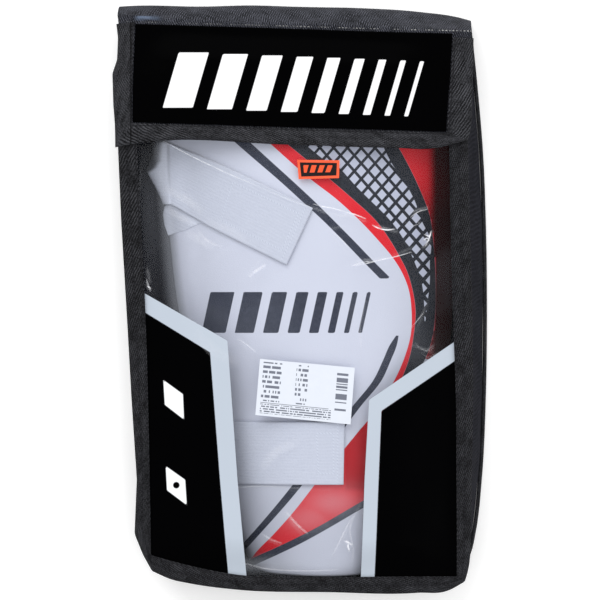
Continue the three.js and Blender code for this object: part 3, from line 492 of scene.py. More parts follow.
class Tree:
    """A material and its nodes."""

    def __init__(self, name):
        self.m = bpy.data.materials.new(name)
        self.m.use_nodes = True
        self.t = self.m.node_tree
        self.t.nodes.clear()
        self.out = self.t.nodes.new("ShaderNodeOutputMaterial")

    def put(self, socket, value):
        if isinstance(value, Value):
            self.t.links.new(value.socket, socket)
        elif value is not None:
            if socket.type == "RGBA" and len(value) == 3:
                value = (*value, 1)
            socket.default_value = value

    def node(self, kind, out=0, props=None, **inputs):
        n = self.t.nodes.new("ShaderNode" + kind)
        for k, v in (props or {}).items():
            setattr(n, k, v)
        for k, v in inputs.items():
            key = k.replace("_", " ")
            self.put(n.inputs[int(key[1:])] if key[0] == "i" and key[1:].isdigit() else n.inputs[key], v)
        return Value(self, n.outputs[out])

    def math(self, op, a, b=None, clamp=False):
        return self.node("Math", props={"operation": op, "use_clamp": clamp}, i0=a, i1=b)

    def attr(self, name):
        return self.node("Attribute", 2, {"attribute_name": name})

    def mixc(self, fac, a, b):
        n = self.t.nodes.new("ShaderNodeMix")
        n.data_type = "RGBA"
        for key, value in (("Factor_Float", fac), ("A_Color", a), ("B_Color", b)):
            self.put(next(s for s in n.inputs if s.identifier == key), value)
        return Value(self, next(s for s in n.outputs if s.identifier == "Result_Color"))

    def ramp(self, value, start, end, low=0.0, high=1.0, kind="LINEAR"):
        return self.node("MapRange", props={"interpolation_type": kind}, Value=value, From_Min=start,
                         From_Max=end, To_Min=low, To_Max=high)

    def step(self, value, edge):
        """0 below zero and 1 above it, over a soft edge."""
        return self.ramp(value, -edge, edge, kind="SMOOTHSTEP")

    def most(self, a, b):
        return self.math("MAXIMUM", a, b)

    def sine(self, value):
        return self.math("SINE", value)

    def fract(self, value):
        return self.math("FRACT", value)

    def floor(self, value):
        return self.math("FLOOR", value)

    def noise(self, scale, detail=2.0, rough=0.5, coord=None, stretch=None):
        coord = coord or self.node("TexCoord", 3)
        if stretch:
            coord = self.node("Mapping", Vector=coord, Scale=stretch)
        return self.node("TexNoise", 0, Vector=coord, Scale=scale, Detail=detail, Roughness=rough)

    def bump(self, height, strength, distance):
        return self.node("Bump", Height=height, Strength=strength, Distance=distance)

    def principled(self, **inputs):
        return self.node("BsdfPrincipled", **inputs)

    def done(self, shader):
        self.t.links.new(shader.socket, self.out.inputs["Surface"])
        return self.m

    def surface(self, color, rough, normal, specular=None):
        return self.done(self.principled(Base_Color=color, Roughness=rough, Normal=normal,
                                         Specular_IOR_Level=specular))


def weave(t, pitch):
    """Height of a fine twill, -1 to 1: threads on the two diagonals of the piece's own axes."""
    xyz = t.node("TexCoord", 3)
    x, y, z = (t.node("SeparateXYZ", i, Vector=xyz) for i in range(3))
    k = 2 * math.pi / (pitch * M)
    wob = (t.noise(150.0, 2.0) - 0.5) * 7.0
    a = t.sine((x + (y + z) * 0.55) * k + wob)
    b = t.sine((x * 0.3 - (y + z)) * (k * 0.75))
    return a * (b * 0.5 + 0.5)


def nylon_material(name, dark, light, low=0.3, high=1.1, shine=0.1):
    t = Tree(name)
    h = weave(t, 1.75)
    patch = t.noise(70.0, 3.0, 0.6)
    grain = t.noise(1000.0, 2.0, 0.7)
    shown = t.ramp(t.noise(110.0, 2.0), 0.38, 0.62, 0.25, 1.0)
    v = h * shown * 0.5 + (patch * 0.5 + grain * 0.8)
    fac = t.ramp(v, low, high)
    col = t.mixc(fac, dark, light)
    n = t.bump(h + patch * 2.0, 0.5, 0.0004)
    return t, col, n, shine


def nylon_done(t, col, n, shine):
    return t.surface(col, 0.85, n, shine)


def flap_material():
    """Twill with the pale stitches of the seam above the glossy sheet, and a painted highlight, a bluish
    sheen, at its left end.
    """
    t, col, n, shine = nylon_material("flap_twill", (0.003, 0.0035, 0.005), (0.108, 0.112, 0.138), 0.5, 1.16)
    seam, x, glint = t.attr("seam"), t.attr("place"), t.attr("glint")
    line = 1.0 - t.step(abs(seam) - 0.36, 0.12)
    dash = t.fract(x / 2.6 + t.noise(60.0)) > 0.5
    right = t.ramp(x, -60.0, 90.0, 0.3, 0.95)
    spot = right * t.ramp(t.noise(160.0, 2.0), 0.42, 0.62)
    col = t.mixc(line * (dash * spot), col, (0.34, 0.34, 0.33))
    # painted highlight: the bluish sheen at the spine's left end, mixed into the colour
    streak = t.ramp(t.noise(160.0, 1.0, stretch=(0.5, 1.0, 1.0)), 0.3, 0.6, 0.3, 1.0)
    col = t.mixc(glint * (streak * 0.9), col, (0.13, 0.17, 0.25))
    return nylon_done(t, col, n, shine)


def tape_material(name, stitches, light=0.075, mean=0.0, shadow_line_x=None):
    """Ribbed binding tape, with lines of stitches at the given shares across it, its wrinkles painted into
    the colour as shade and light, and a painted shadow line at a given x, when one is given.
    """
    t = Tree(name)
    run, side = t.attr("run"), t.attr("side")
    across = side * 16.0
    wob = (t.noise(150.0, 2.0) - 0.5) * 7.0
    one = t.sine((across + run * 0.45) * (2 * math.pi / 1.9) + wob)
    two = t.sine((run - across * 0.35) * (2 * math.pi / 1.6))
    rib = one * (two * 0.5 + 0.5)
    # fold: wrinkles across the tape, bumped and also painted into the colour as shade and light
    fold = t.noise(1.0, 3.0, 0.6, coord=t.node("CombineXYZ", i0=run * 0.09 + side, i1=side * 1.6))
    fleck = t.noise(1000.0, 2.0, 0.7)
    shown = t.ramp(t.noise(100.0, 2.0), 0.38, 0.62, 0.2, 1.0)
    v = rib * shown * 0.55 + (fleck * 0.8 + fold * 0.55)
    fac = t.ramp(v, 0.6 - mean, 1.16 - mean)
    col = t.mixc(fac, (0.0022, 0.0023, 0.003), (light, light * 1.02, light * 1.16))
    if shadow_line_x is not None:
        # painted shadow line along the inner edge of the flap's left tape
        place = t.node("SeparateXYZ", 0, Vector=t.node("TexCoord", 3))
        line = abs(place * (1 / M) - shadow_line_x) < 0.55
        col = t.mixc(line * 0.9, col, (0.0012, 0.0012, 0.0016))
    height = fleck * 1.5 + fold * 5.0
    for share in stitches:
        near = abs(side - share) < 0.035
        dash = t.fract(run / 3.2) > 0.28
        thread = near * dash
        col = t.mixc(near * 0.8, col, (0.0015, 0.0015, 0.002))
        col = t.mixc(thread * 0.45, col, (0.03, 0.03, 0.036))
        height = height + thread * 2.0
    n = t.bump(height, 0.55, 0.0006)
    return t.surface(col, 0.75, n, 0.12)


def film_material():
    t = Tree("clear_film")
    black, pale, white = (t.step(t.attr(k), 0.3) for k in ("black", "pale", "white"))
    crease, painted_haze = t.attr("crease"), t.attr("painted_haze")
    fine = t.noise(38.0, 1.5, 0.5, stretch=(1.0, 0.45, 1.0))
    n = t.bump(fine + t.noise(8.0, 1.5) * 2.5, 0.35, 0.0016)
    clear = t.node("BsdfTransparent", Color=(0.95, 0.96, 0.985))
    gloss = t.node("BsdfGlossy", Color=(1, 1, 1), Roughness=0.25, Normal=n)
    milk = t.node("BsdfDiffuse", Color=(0.82, 0.86, 0.95), Roughness=0.5, Normal=n)
    shine = t.math("ADD", 0.007, crease * 0.15, clamp=True)
    film = t.node("MixShader", i0=shine, i1=clear, i2=gloss)
    cloud = (t.noise(16.0, 4.0, 0.6) - 0.5) * 0.06
    # painted reflection and highlight: milky white mixed in where the haze patches lie and along the creases,
    # over a faint even haze and random cloud
    veil = t.math("ADD", painted_haze * 0.35 + 0.003, crease * 0.13 + t.most(cloud, 0.0), clamp=True)
    film = t.node("MixShader", i0=veil, i1=film, i2=milk)
    ink = t.mixc(pale, (0.0005, 0.0005, 0.0007), (0.475, 0.53, 0.605))
    ink = t.mixc(white, ink, (0.86, 0.88, 0.9))
    tint = (t.noise(30.0, 3.0) - 0.5) * 0.12
    ink = t.mixc(pale * t.most(tint, 0.0), ink, (0.36, 0.43, 0.53))
    rough = t.most(pale * 0.5, fine * 0.7)
    printed = t.principled(Base_Color=ink, Roughness=rough, Normal=n, Specular_IOR_Level=0.008)
    cover = t.most(t.most(black, pale), white)
    return t.done(t.node("MixShader", i0=cover, i1=film, i2=printed))


def glint_material():
    """A painted highlight: the bright line along a sharp crease of the film, drawn as a white strip over it,
    fading out at its ends and edges.
    """
    t = Tree("film_glint")
    k = t.attr("glare") * t.ramp(t.noise(330.0, 3.0), 0.3, 0.6, 0.35, 1.0)
    clear = t.node("BsdfTransparent", Color=(1, 1, 1))
    white = t.node("BsdfDiffuse", Color=(0.95, 0.96, 1.0), Roughness=0.3)
    return t.done(t.node("MixShader", i0=k, i1=clear, i2=white))


def facing_material():
    t = Tree("coated_facing")
    red, slate, dark, net = (t.step(t.attr(k), 0.22) for k in ("red", "slate", "dark", "net"))
    a, b = t.attr("net_a"), t.attr("net_b")
    size = t.attr("net_size")

    def off(value):
        return abs(t.fract(value) - 0.5)

    gem = t.step(size - t.most(off(a), off(b)), 0.02)
    cloud = t.noise(14.0, 4.0, 0.55)
    white = t.mixc(cloud, (0.57, 0.59, 0.67), (0.63, 0.65, 0.735))
    grain = t.noise(1100.0, 2.0, 0.6)
    mottle = t.ramp(t.noise(420.0, 3.0, 0.7), 0.4, 0.62)
    ink = t.mixc(mottle, (0.013, 0.015, 0.021), (0.024, 0.027, 0.036))
    slate_ink = t.mixc(mottle, (0.026, 0.031, 0.05), (0.042, 0.048, 0.072))
    red_ink = t.mixc(t.noise(60.0, 3.0), (0.66, 0.012, 0.022), (0.76, 0.02, 0.032))
    col = t.mixc(slate, white, slate_ink)
    col = t.mixc(red, col, red_ink)
    col = t.mixc(dark, col, ink)
    col = t.mixc(net * gem, col, t.mixc(cloud, (0.44, 0.46, 0.56), (0.55, 0.575, 0.67)))
    # painted shade: the colour scaled by the shade attribute
    col = t.node("VectorMath", 0, {"operation": "SCALE"}, i0=col, Scale=t.attr("shade"))
    n = t.bump(grain + cloud * 6.0, 0.3, 0.0004)
    return t.surface(col, 0.5, n, 0.15)


def elastic_material():
    t = Tree("ribbed_elastic")
    run, side, box = t.attr("run"), t.attr("side"), t.attr("box")
    drift = (t.noise(60.0, 3.0, stretch=(0.3, 1.0, 1.0)) - 0.5) * 9.0
    streak = t.noise(1.0, 2.0, 0.6, coord=t.node("CombineXYZ", i0=run * 0.11, i1=side * 44.0))
    rib = streak * 3.4 + t.sine(side * (2 * math.pi * 19.0) + drift) * 0.45
    knit = t.sine(run * (2 * math.pi / 1.3))
    tangle = t.noise(700.0, 3.0, 0.7)
    v = rib * 0.26 + (knit * 0.05 + tangle * 1.5)
    shade = t.ramp(v, 0.6, 1.8)
    col = t.mixc(shade, (0.50, 0.525, 0.60), (0.595, 0.62, 0.695))
    line = abs(box) < 0.55
    dash = t.fract((run + side * 47.0) / 2.4) > 0.3
    col = t.mixc(line * 0.35, col, (0.3, 0.33, 0.42))
    col = t.mixc(line * dash * 0.7, col, (0.66, 0.69, 0.76))
    # painted shade and light: the colour scaled by the shade attribute
    col = t.node("VectorMath", 0, {"operation": "SCALE"}, i0=col, Scale=t.attr("shade"))
    height = v + line * dash * 1.2
    n = t.bump(height, 0.3, 0.0004)
    return t.surface(col, 0.8, n, 0.15)


def panel_material():
    t = Tree("glossy_panel")
    bars = t.step(t.attr("bars"), 0.25)
    n = t.bump(t.noise(18.0, 2.0), 0.12, 0.0012)
    speck = t.noise(500.0, 2.0)
    ink = t.mixc(speck, (0.0004, 0.0004, 0.0005), (0.0008, 0.0008, 0.001))
    col = t.mixc(bars, ink, t.mixc(speck, (0.86, 0.86, 0.87), (0.94, 0.94, 0.95)))
    return t.surface(col, 0.2 + speck * 0.1, n, 0.006)


def paper_material(name, color, low):
    t = Tree(name)
    v = t.noise(180.0, 4.0, 0.6)
    col = t.mixc(v, low, color)
    n = t.bump(v, 0.15, 0.0002)
    return t.surface(col, 0.45, n, 0.3)


def label_material():
    """White paper with rows of small grey marks, like print too fine to read, and a block of fine bars."""
    t = Tree("printed_label")
    u, v = t.attr("mm_u"), t.attr("mm_v")

    def cells(width, height, share):
        col, row = t.floor(u / width), t.floor(v / height)
        seed = t.node("CombineXYZ", i0=col, i1=row, i2=share)
        on = t.node("TexWhiteNoise", 0, Vector=seed) < share
        tall = abs(t.fract(v / height) - 0.5) < 0.27
        return on * tall

    def window(u0, u1, v0, v1):
        a = (u > u0) * (u < u1)
        return a * ((v > v0) * (v < v1))

    words = window(3.0, 17.0, 1.8, 31.1) * cells(0.95, 3.66, 0.66)
    words = t.most(words, window(28.0, 37.0, 1.8, 31.1) * cells(0.95, 3.66, 0.55))
    words = t.most(words, window(3.0, 56.0, 33.2, 40.4) * cells(0.75, 1.8, 0.75))
    rule = abs(v - 32.3) < 0.22
    words = t.most(words, rule * window(3.0, 54.0, 0.0, 40.0))
    line = t.node("TexWhiteNoise", 0, Vector=t.node("CombineXYZ", i1=t.floor(v / 0.85)))
    code = window(58.5, 67.0, 5.0, 33.0) * (line > 0.5)
    words = t.most(words, code)
    paper = t.noise(180.0, 4.0, 0.6)
    col = t.mixc(paper, (0.67, 0.71, 0.79), (0.72, 0.755, 0.83))
    col = t.mixc(words * 0.85, col, (0.07, 0.08, 0.12))
    return t.surface(col, 0.5, t.bump(paper, 0.1, 0.0002), 0.15)


def marks_material():
    """Dark sticker with four plain blocks in the colour of its edge."""
    t = Tree("sticker_dark")
    u, v = t.attr("mm_u"), t.attr("mm_v")
    grain = t.noise(400.0, 2.0)
    turn = t.fract((u + v * 0.35 - 3.4) / 6.1)
    inside = (u > 2.4) * (u < 24.4)
    inside = inside * (abs(v - 4.9) < 2.9)
    mark = inside * (turn < 0.62)
    col = t.mixc(grain, (0.010, 0.007, 0.008), (0.018, 0.012, 0.013))
    col = t.mixc(mark, col, t.mixc(grain, (0.78, 0.09, 0.032), (0.86, 0.115, 0.04)))
    return t.surface(col, 0.5, t.bump(grain, 0.1, 0.0002), 0.1)


def foam_material():
    t = Tree("closed_cell_foam")
    cell = t.node("TexVoronoi", 0, Vector=t.node("TexCoord", 3), Scale=420.0)
    col = t.mixc(cell, (0.02, 0.021, 0.025), (0.045, 0.046, 0.052))
    return t.surface(col, 0.85, t.bump(cell, 0.4, 0.0004))


NYLON = nylon_done(*nylon_material("nylon_twill", (0.004, 0.0042, 0.006), (0.022, 0.0225, 0.03), 0.25, 1.1,
                                   0.04))
INSIDE = nylon_done(*nylon_material("nylon_inside", (0.012, 0.0125, 0.017), (0.018, 0.0185, 0.025), 0.3, 1.6,
                                    0.03))
FLAP_CLOTH = flap_material()
TAPE_FRONT = tape_material("front_tape", [0.47, 0.9], 0.06, 0.02)
TAPE_FLAP = tape_material("flap_tape", [0.9], 0.085, 0.05, shadow_line_x=-126.9)
TAPE_BACK = tape_material("back_tape", [0.75])
PAPER = label_material()
ORANGE = paper_material("sticker_orange", (0.92, 0.125, 0.045), (0.84, 0.09, 0.03))
DARK = marks_material()


def paint(o, material):
    o.data.materials.clear()
    o.data.materials.append(material)


# The clear film with its prints
CREASES = [
    # photo pixels: start, end, height, width in millimetres, glare, which sets the painted highlight along
    # the crease
    ((163, 138), (311, 207), 0.5, 0.9, 0.4), ((311, 207), (330, 214), 0.5, 0.8, 0.6),
    ((330, 214), (352, 217), 0.7, 0.7, 0.8), ((342, 213), (366, 222), 0.6, 0.7, 0.7),
    ((376, 226), (397, 232), 0.8, 0.7, 0.9), ((320, 230), (345, 227), 0.5, 0.8, 0.4),
    ((345, 266), (392, 256), 0.6, 0.8, 0.5), ((352, 262), (372, 259), 0.4, 0.6, 0.5),
    ((392, 256), (414, 247), 0.5, 0.8, 0.3), ((424, 246), (432, 231), 0.8, 0.6, 0.9),
    ((421, 238), (431, 240), 0.5, 0.5, 0.8), ((422, 248), (430, 243), 0.5, 0.5, 0.7),
    ((408, 213), (428, 207), 0.5, 0.8, 0.5), ((412, 218), (421, 224), 0.4, 0.6, 0.4),
    ((170, 190), (232, 236), 0.4, 2.5, 0.08), ((210, 262), (236, 246), 0.5, 2.0, 0.1),
    ((248, 275), (262, 258), 0.5, 1.0, 0.3), ((328, 232), (352, 258), 0.3, 0.6, 0.35),
    ((200, 205), (160, 176), 0.5, 3.0, 0.1), ((236, 488), (330, 490), 0.4, 1.2, 0.12),
    ((283, 512), (303, 534), 0.5, 1.4, 0.3), ((262, 535), (280, 545), 0.5, 1.0, 0.3),
    ((300, 500), (345, 540), 0.5, 4.0, 0.06), ((246, 566), (300, 571), 0.6, 1.4, 0.15),
    ((333, 556), (354, 516), 0.7, 0.8, 0.28), ((354, 516), (362, 500), 0.5, 0.8, 0.2),
    ((344, 541), (351, 545), 0.5, 0.9, 0.9), ((347, 545), (349, 550), 0.5, 0.8, 0.7),
    ((352, 300), (358, 350), 0.4, 3.0, 0.06), ((416, 330), (428, 300), 0.5, 1.2, 0.15),
    ((412, 345), (432, 352), 0.5, 0.8, 0.35), ((424, 352), (434, 345), 0.4, 0.7, 0.4),
    ((238, 341), (252, 352), 0.4, 0.9, 0.25), ((150, 283), (147, 268), 0.5, 0.8, 0.4),
    ((146, 283), (150, 291), 0.5, 0.8, 0.4), ((300, 345), (352, 356), 0.3, 2.2, 0.06),
    ((190, 290), (235, 330), 0.3, 5.0, 0.04), ((136, 225), (141, 165), 0.4, 1.0, 0.12),
]
GLINTS = [
    # painted highlights along the film's creases, thin lines and a few broad smears; photo pixels: points
    # along it, then width in pixels and strength
    (((163, 141), (190, 155.5), (220, 170), (262, 188)), 1.1, 0.45),
    (((262, 188), (292, 201), (312, 208)), 0.9, 0.3),
    (((313, 204), (322, 206.5), (331, 208), (345, 212)), 1.1, 0.75),
    (((345, 212), (356, 215), (366, 219)), 1.3, 0.8),
    (((372, 225), (379, 228.5), (387, 230), (395, 229)), 1.4, 1.0),
    (((351, 266), (364, 264), (378, 260.5), (396, 256.5), (412, 252)), 1.2, 0.75),
    (((354, 265), (362, 262.5), (372, 261)), 0.9, 0.6), (((425, 246), (428, 241), (431.5, 230.5)), 1.3, 1.0),
    (((424, 234), (428, 236), (431.5, 235)), 1.1, 0.8), (((423, 241), (427, 238), (430, 241)), 1.0, 0.8),
    (((410, 217.5), (418, 212), (428, 209)), 1.2, 0.55), (((405, 222), (412, 226), (420, 223)), 0.8, 0.4),
    (((329, 230), (340, 238), (350, 249)), 0.8, 0.4), (((249, 277), (256, 271), (266, 264.5)), 3.2, 0.35),
    (((196, 228), (208, 241), (222, 247)), 3.0, 0.16), (((146.5, 279), (148, 285), (150.5, 291)), 1.6, 0.55),
    (((147, 286), (151, 288.5)), 1.4, 0.7), (((344.5, 540.5), (349, 542.5), (352, 545)), 1.6, 0.9),
    (((348.5, 542), (348, 546), (349.5, 551)), 1.6, 0.8),
    (((332, 556), (340, 540), (348, 524), (356, 512)), 1.6, 0.22),
    (((356, 512), (350, 528), (353, 548), (352, 566)), 1.4, 0.18),
    (((286, 511), (296, 523), (308, 534)), 2.6, 0.3), (((262, 533), (271, 539), (282, 543)), 1.8, 0.25),
    (((236, 487), (262, 486), (300, 488)), 1.4, 0.2),
    (((415, 342), (420, 348), (428, 351), (434, 348)), 1.0, 0.16),
    (((420, 352), (428, 357), (438, 352)), 0.9, 0.14), (((409, 330), (416, 322), (424, 312)), 1.2, 0.3),
    (((238, 339), (246, 344), (256, 352)), 1.4, 0.35),
    (((240, 562), (262, 568), (300, 571), (340, 570)), 1.6, 0.22),
    (((366, 300), (360, 330), (362, 352)), 1.4, 0.15), (((164, 188), (180, 196), (204, 212)), 8.0, 0.13),
    (((168, 208), (178, 216), (198, 224)), 7.0, 0.13), (((186, 232), (204, 242), (214, 248)), 9.0, 0.12),
    (((205, 222), (226, 228), (250, 244)), 8.0, 0.09), (((196, 330), (216, 352), (240, 362)), 12.0, 0.1),
    (((262, 468), (276, 452), (300, 440)), 10.0, 0.12),
]
HAZES = [
    # painted reflection, patches of milky white on the film; photo pixels: middle, half width and height,
    # strength
    (332, 502, 26, 16, 0.42), (308, 518, 24, 15, 0.32), (250, 330, 60, 40, 0.08), (215, 235, 50, 45, 0.1),
    (370, 330, 26, 50, 0.1), (415, 345, 16, 22, 0.07), (270, 565, 60, 8, 0.3), (152, 205, 14, 70, 0.08),
]


def film():
    u = np.linspace(-0.012, 1.012, 210)[None, :]
    v = np.linspace(-0.007, 1.007, 330)[:, None]
    U, V = np.broadcast_arrays(u, v)
    x, y = on_pouch(PANE, U, V)
    z = film_top(x, y)
    hold = ease(np.minimum(np.minimum(U, 1 - U) / 0.06, np.minimum(V, 1 - V) / 0.035))
    wave = (np.sin(x / 13 + y / 31 + 1.0) * 0.22 + np.sin(x / 27 - y / 17) * 0.28
            + np.sin(y / 41 + x / 60 + 2) * 0.3 + 0.35)
    # crease: where the creases run, weighted by their glare, the strength of the painted highlight along them
    crease = np.zeros_like(x)
    for a, b, height, width, glare in CREASES:
        bow, t = segment(x, y, px(*a), px(*b))
        g = bell(bow, width) * (0.35 + 0.65 * np.sin(np.pi * t))
        wave = wave + height * g
        crease = np.maximum(crease, glare * g)
    z = z + hold * wave
    painted_haze = np.zeros_like(x)
    for cx, cy, rx, ry, k in HAZES:
        gx, gy = px(cx, cy)
        painted_haze = np.maximum(painted_haze, k * np.exp(-((x - gx) / (rx * PIXEL)) ** 2 - ((y - gy) / (ry * PIXEL)) ** 2))
    black = np.maximum(poly_sdf(x, y, places(LEFT_EDGE + [(-1.2, 0.0), (-1.2, 0.48)])),
                       poly_sdf(x, y, places(RIGHT_EDGE + [(1.2, 0.0), (1.2, 0.401)])))
    band = np.maximum(poly_sdf(x, y, places(LEFT_OUT + [(-1.2, 0.0), (-1.2, 0.512)])),
                      poly_sdf(x, y, places(RIGHT_OUT + [(1.2, 0.0), (1.2, 0.434)])))
    pale = np.minimum(band, -black)
    white = np.maximum(poly_sdf(x, y, places(LOZENGES[0])), poly_sdf(x, y, places(LOZENGES[1])))
    dot = 2.5 - np.hypot(x - px(176.3, 485.2)[0], y - px(176.3, 485.2)[1])
    white = np.minimum(white, -dot)
    z = z - np.where(band > 0, 0.6 * hold * (wave - 0.4), 0)
    edge = guard_side(y)
    # painted light: a milky band on the film along the guard's left edge, softening the dark edge there
    painted_haze = np.maximum(painted_haze, 0.34 * bell(x - edge - 0.5, 6) * ease((y + 60) / 60))
    points, faces = [stack(x, y, z).reshape(-1, 3)], [grid_faces(330, 210)]
    attrs = {"crease": crease * (band < 0.5), "painted_haze": painted_haze * (band < 0), "black": black, "pale": pale,
             "white": white, "glare": np.zeros_like(x)}
    attrs = {key: [value.ravel()] for key, value in attrs.items()}
    flat = (x.ravel(), y.ravel(), z.ravel())
    start = x.size
    # painted highlights: a white strip laid just over the film along each path
    for path, wide, glare in GLINTS:
        q = np.array([px(*c) for c in path])
        d = run_along(q)
        at = np.linspace(0, d[-1], max(6, int(d[-1] / 1.2)))
        m = np.stack([d, q[:, 0], q[:, 1]], -1)
        c = np.stack([Table("d x y", m)(at, k) for k in "xy"], -1)
        n = np.gradient(c, axis=0)
        n = np.stack([-n[:, 1], n[:, 0]], -1) / np.linalg.norm(n, axis=1, keepdims=True)
        side = np.array([-1.0, -0.35, 0.35, 1.0])
        r = c[:, None, :] + n[:, None, :] * side[None, :, None] * wide * PIXEL * 0.62
        near = [np.argmin((flat[0] - a) ** 2 + (flat[1] - b) ** 2) for a, b in c]
        h = np.max(flat[2][near].reshape(-1, 1), axis=1)
        points.append(stack(r[..., 0], r[..., 1], h[:, None] + 0.35).reshape(-1, 3))
        faces.append(grid_faces(len(at), 4, start))
        start += len(at) * 4
        fade = np.sin(np.pi * np.linspace(0.04, 0.96, len(at)))[:, None] ** 0.7
        g = glare * fade * np.array([0, 1, 1, 0.0])[None, :]
        for key in attrs:
            attrs[key].append(g.ravel() if key == "glare" else np.full(g.size, -9.0)
                              if key in ("black", "pale", "white") else np.zeros(g.size))
    o = make("window_film", np.concatenate(points), np.concatenate(faces).tolist(),
             {k: np.concatenate(v) for k, v in attrs.items()})
    paint(o, film_material())
    o.data.materials.append(glint_material())
    first = len(faces[0])
    o.data.polygons.foreach_set("material_index", [0] * first + [1] * (len(o.data.polygons) - first))
    return o, (x, y, z)


FILM, FILM_GRID = film()


def film_at(x, y):
    gx, gy, gz = FILM_GRID
    i = np.argmin((gx.reshape(-1)[None, :] - np.ravel(x)[:, None]) ** 2
                  + (gy.reshape(-1)[None, :] - np.ravel(y)[:, None]) ** 2, axis=1)
    return gz.reshape(-1)[i].reshape(np.shape(x))


def sticker(name, corners, material, margin=0.0, lift=0.25):
    """A thin plate on the film, between four corners given in shares of the pouch."""
    c = np.array(places(corners))
    middle = c.mean(0)
    size = np.abs(c - middle)
    c = middle + (c - middle) * (1 - margin / size)
    s, t = np.meshgrid(np.linspace(0, 1, 26), np.linspace(0, 1, 14))
    top = c[0] + (c[1] - c[0]) * s[..., None]
    low = c[3] + (c[2] - c[3]) * s[..., None]
    p = top + (low - top) * t[..., None]
    z = film_at(p[..., 0], p[..., 1])
    z = mix(z, z.mean(), 0.5) + 0.5 * (z.max() - z.mean()) + lift
    wide, tall = np.linalg.norm(c[1] - c[0]), np.linalg.norm(c[3] - c[0])
    o = shell(name, stack(p[..., 0], p[..., 1], z + PRINT)[::-1], stack(p[..., 0], p[..., 1], z)[::-1],
              {"mm_u": (s * wide)[::-1], "mm_v": (t * tall)[::-1]})
    o.data.polygons.foreach_set("use_smooth", [False] * len(o.data.polygons))
    paint(o, material)
    return o


label = sticker("label_white", WHITE_STICKER, PAPER)
size_edge = sticker("label_orange", SIZE_STICKER, ORANGE)
size_field = sticker("label_dark", SIZE_STICKER, DARK, margin=2.0, lift=0.45)


# Guard
def guard_facing():
    u = np.concatenate([[0, 0.004, 0.01, 0.018], np.linspace(0.028, 0.972, 170),
                        [0.982, 0.99, 0.996, 1]])[None, :]
    v = np.concatenate([[0, 0.003, 0.007, 0.012], np.linspace(0.018, 0.982, 270),
                        [0.988, 0.993, 0.997, 1]])[:, None]
    U, V = np.broadcast_arrays(u, v)
    x, y = on_guard(U, V)
    z = guard_top(x, y)
    z = z + 0.35 * np.sin(x / 31 + y / 47) * np.sin(y / 36 - 1) * ease(np.minimum(U, 1 - U) / 0.1)
    red = np.maximum(rows_sdf(x, y, RED_CURVE), cols_sdf(x, y, RED_WEDGE))
    slate = np.maximum(rows_sdf(x, y, SLATE_UPPER), rows_sdf(x, y, SLATE_LOWER))
    slate = np.maximum(slate, cols_sdf(x, y, WEDGE_LINE))
    t = np.array(sorted(BLACK_RIGHT))
    edge = Table("y x", np.array([guard_y(t[:, 0]), guard_x(t[:, 1])]).T)(y, "x")
    r = np.array(sorted(RED_CURVE))
    inner = Table("y x", np.array([guard_y(r[:, 0]), guard_x(r[:, 2])]).T)(y, "x")
    tall = np.minimum(y - guard_y(0.325), guard_y(0.954) - y)
    dark = np.minimum(np.minimum((x - inner) * 0.7, (edge - x) * 0.8), tall)
    side = np.minimum((x - edge) * 0.8, np.minimum(y - guard_y(0.4), guard_y(0.9) - y))
    red = np.maximum(red, side)
    net = rows_sdf(x, y, NET)
    qx, qy = photo(x, y)
    a = (qx - 347.5) / 13.85 + (qy - 171.0) / 15.6 + 0.5
    b = (qx - 347.5) / 13.85 - (qy - 171.0) / 15.6 + 0.5
    size = mix(0.37, 0.3, np.clip((qy - 150) / 160, 0, 1))
    n = {"red": red, "slate": slate, "dark": dark, "net": net, "net_a": a, "net_b": b, "net_size": size}
    # a row of leaning bars across the middle
    bars = np.full_like(x, -1e3)
    widths = (19, 15, 12, 9.5, 7.5, 5.5, 4, 3)
    for i, w in enumerate(widths):
        start = 201 + sum(widths[:i]) * 1.28 + i * 9.2
        lean = [(start + 9, 292), (start + 9 + w * 1.28, 292), (start + w * 1.28, 333), (start, 333)]
        bars = np.maximum(bars, poly_sdf(x, y, [px(*p) for p in lean]))
    n["slate"] = np.maximum(slate, bars)
    # painted shade: dark at the guard's left edge with slight painted light just inside it, dark towards the
    # right edge and lower down on the red side, darker towards the bottom, and darker over the red wedge's
    # corner
    left = guard_side(y)
    shade = mix(0.3, 1.12, ease((x - left) / 10 + 0.2)) / mix(1.0, 1.12, ease((x - left - 12) / 14))
    deep = mix(1.0, 0.35, ease((qy - 165) / 60))
    shade = shade * np.where(side > 0, mix(0.07, 1.0, ease((438 - qx) / 11)) * deep,
                             mix(0.2, 1.0, ease((446 - qx) / 14)))
    corner = ease((qx - 344) / 3) * ease((368 - qx) / 3) * ease((qy - 404) / 4)
    corner = corner * ease((494 - qy) / 8) * (red > 0)
    n["shade"] = shade * mix(1.0, 0.8, ease((qy - 390) / 150)) * (1 - 0.36 * corner)
    o = shell("facing", stack(x, y, z), stack(x, y, z - FACING), n)
    paint(o, facing_material())
    return o


facing = guard_facing()


# where the strap's stretches end: on the guard, round its edge, and behind it
FACE, BEND, BEHIND = 12, 19, 26


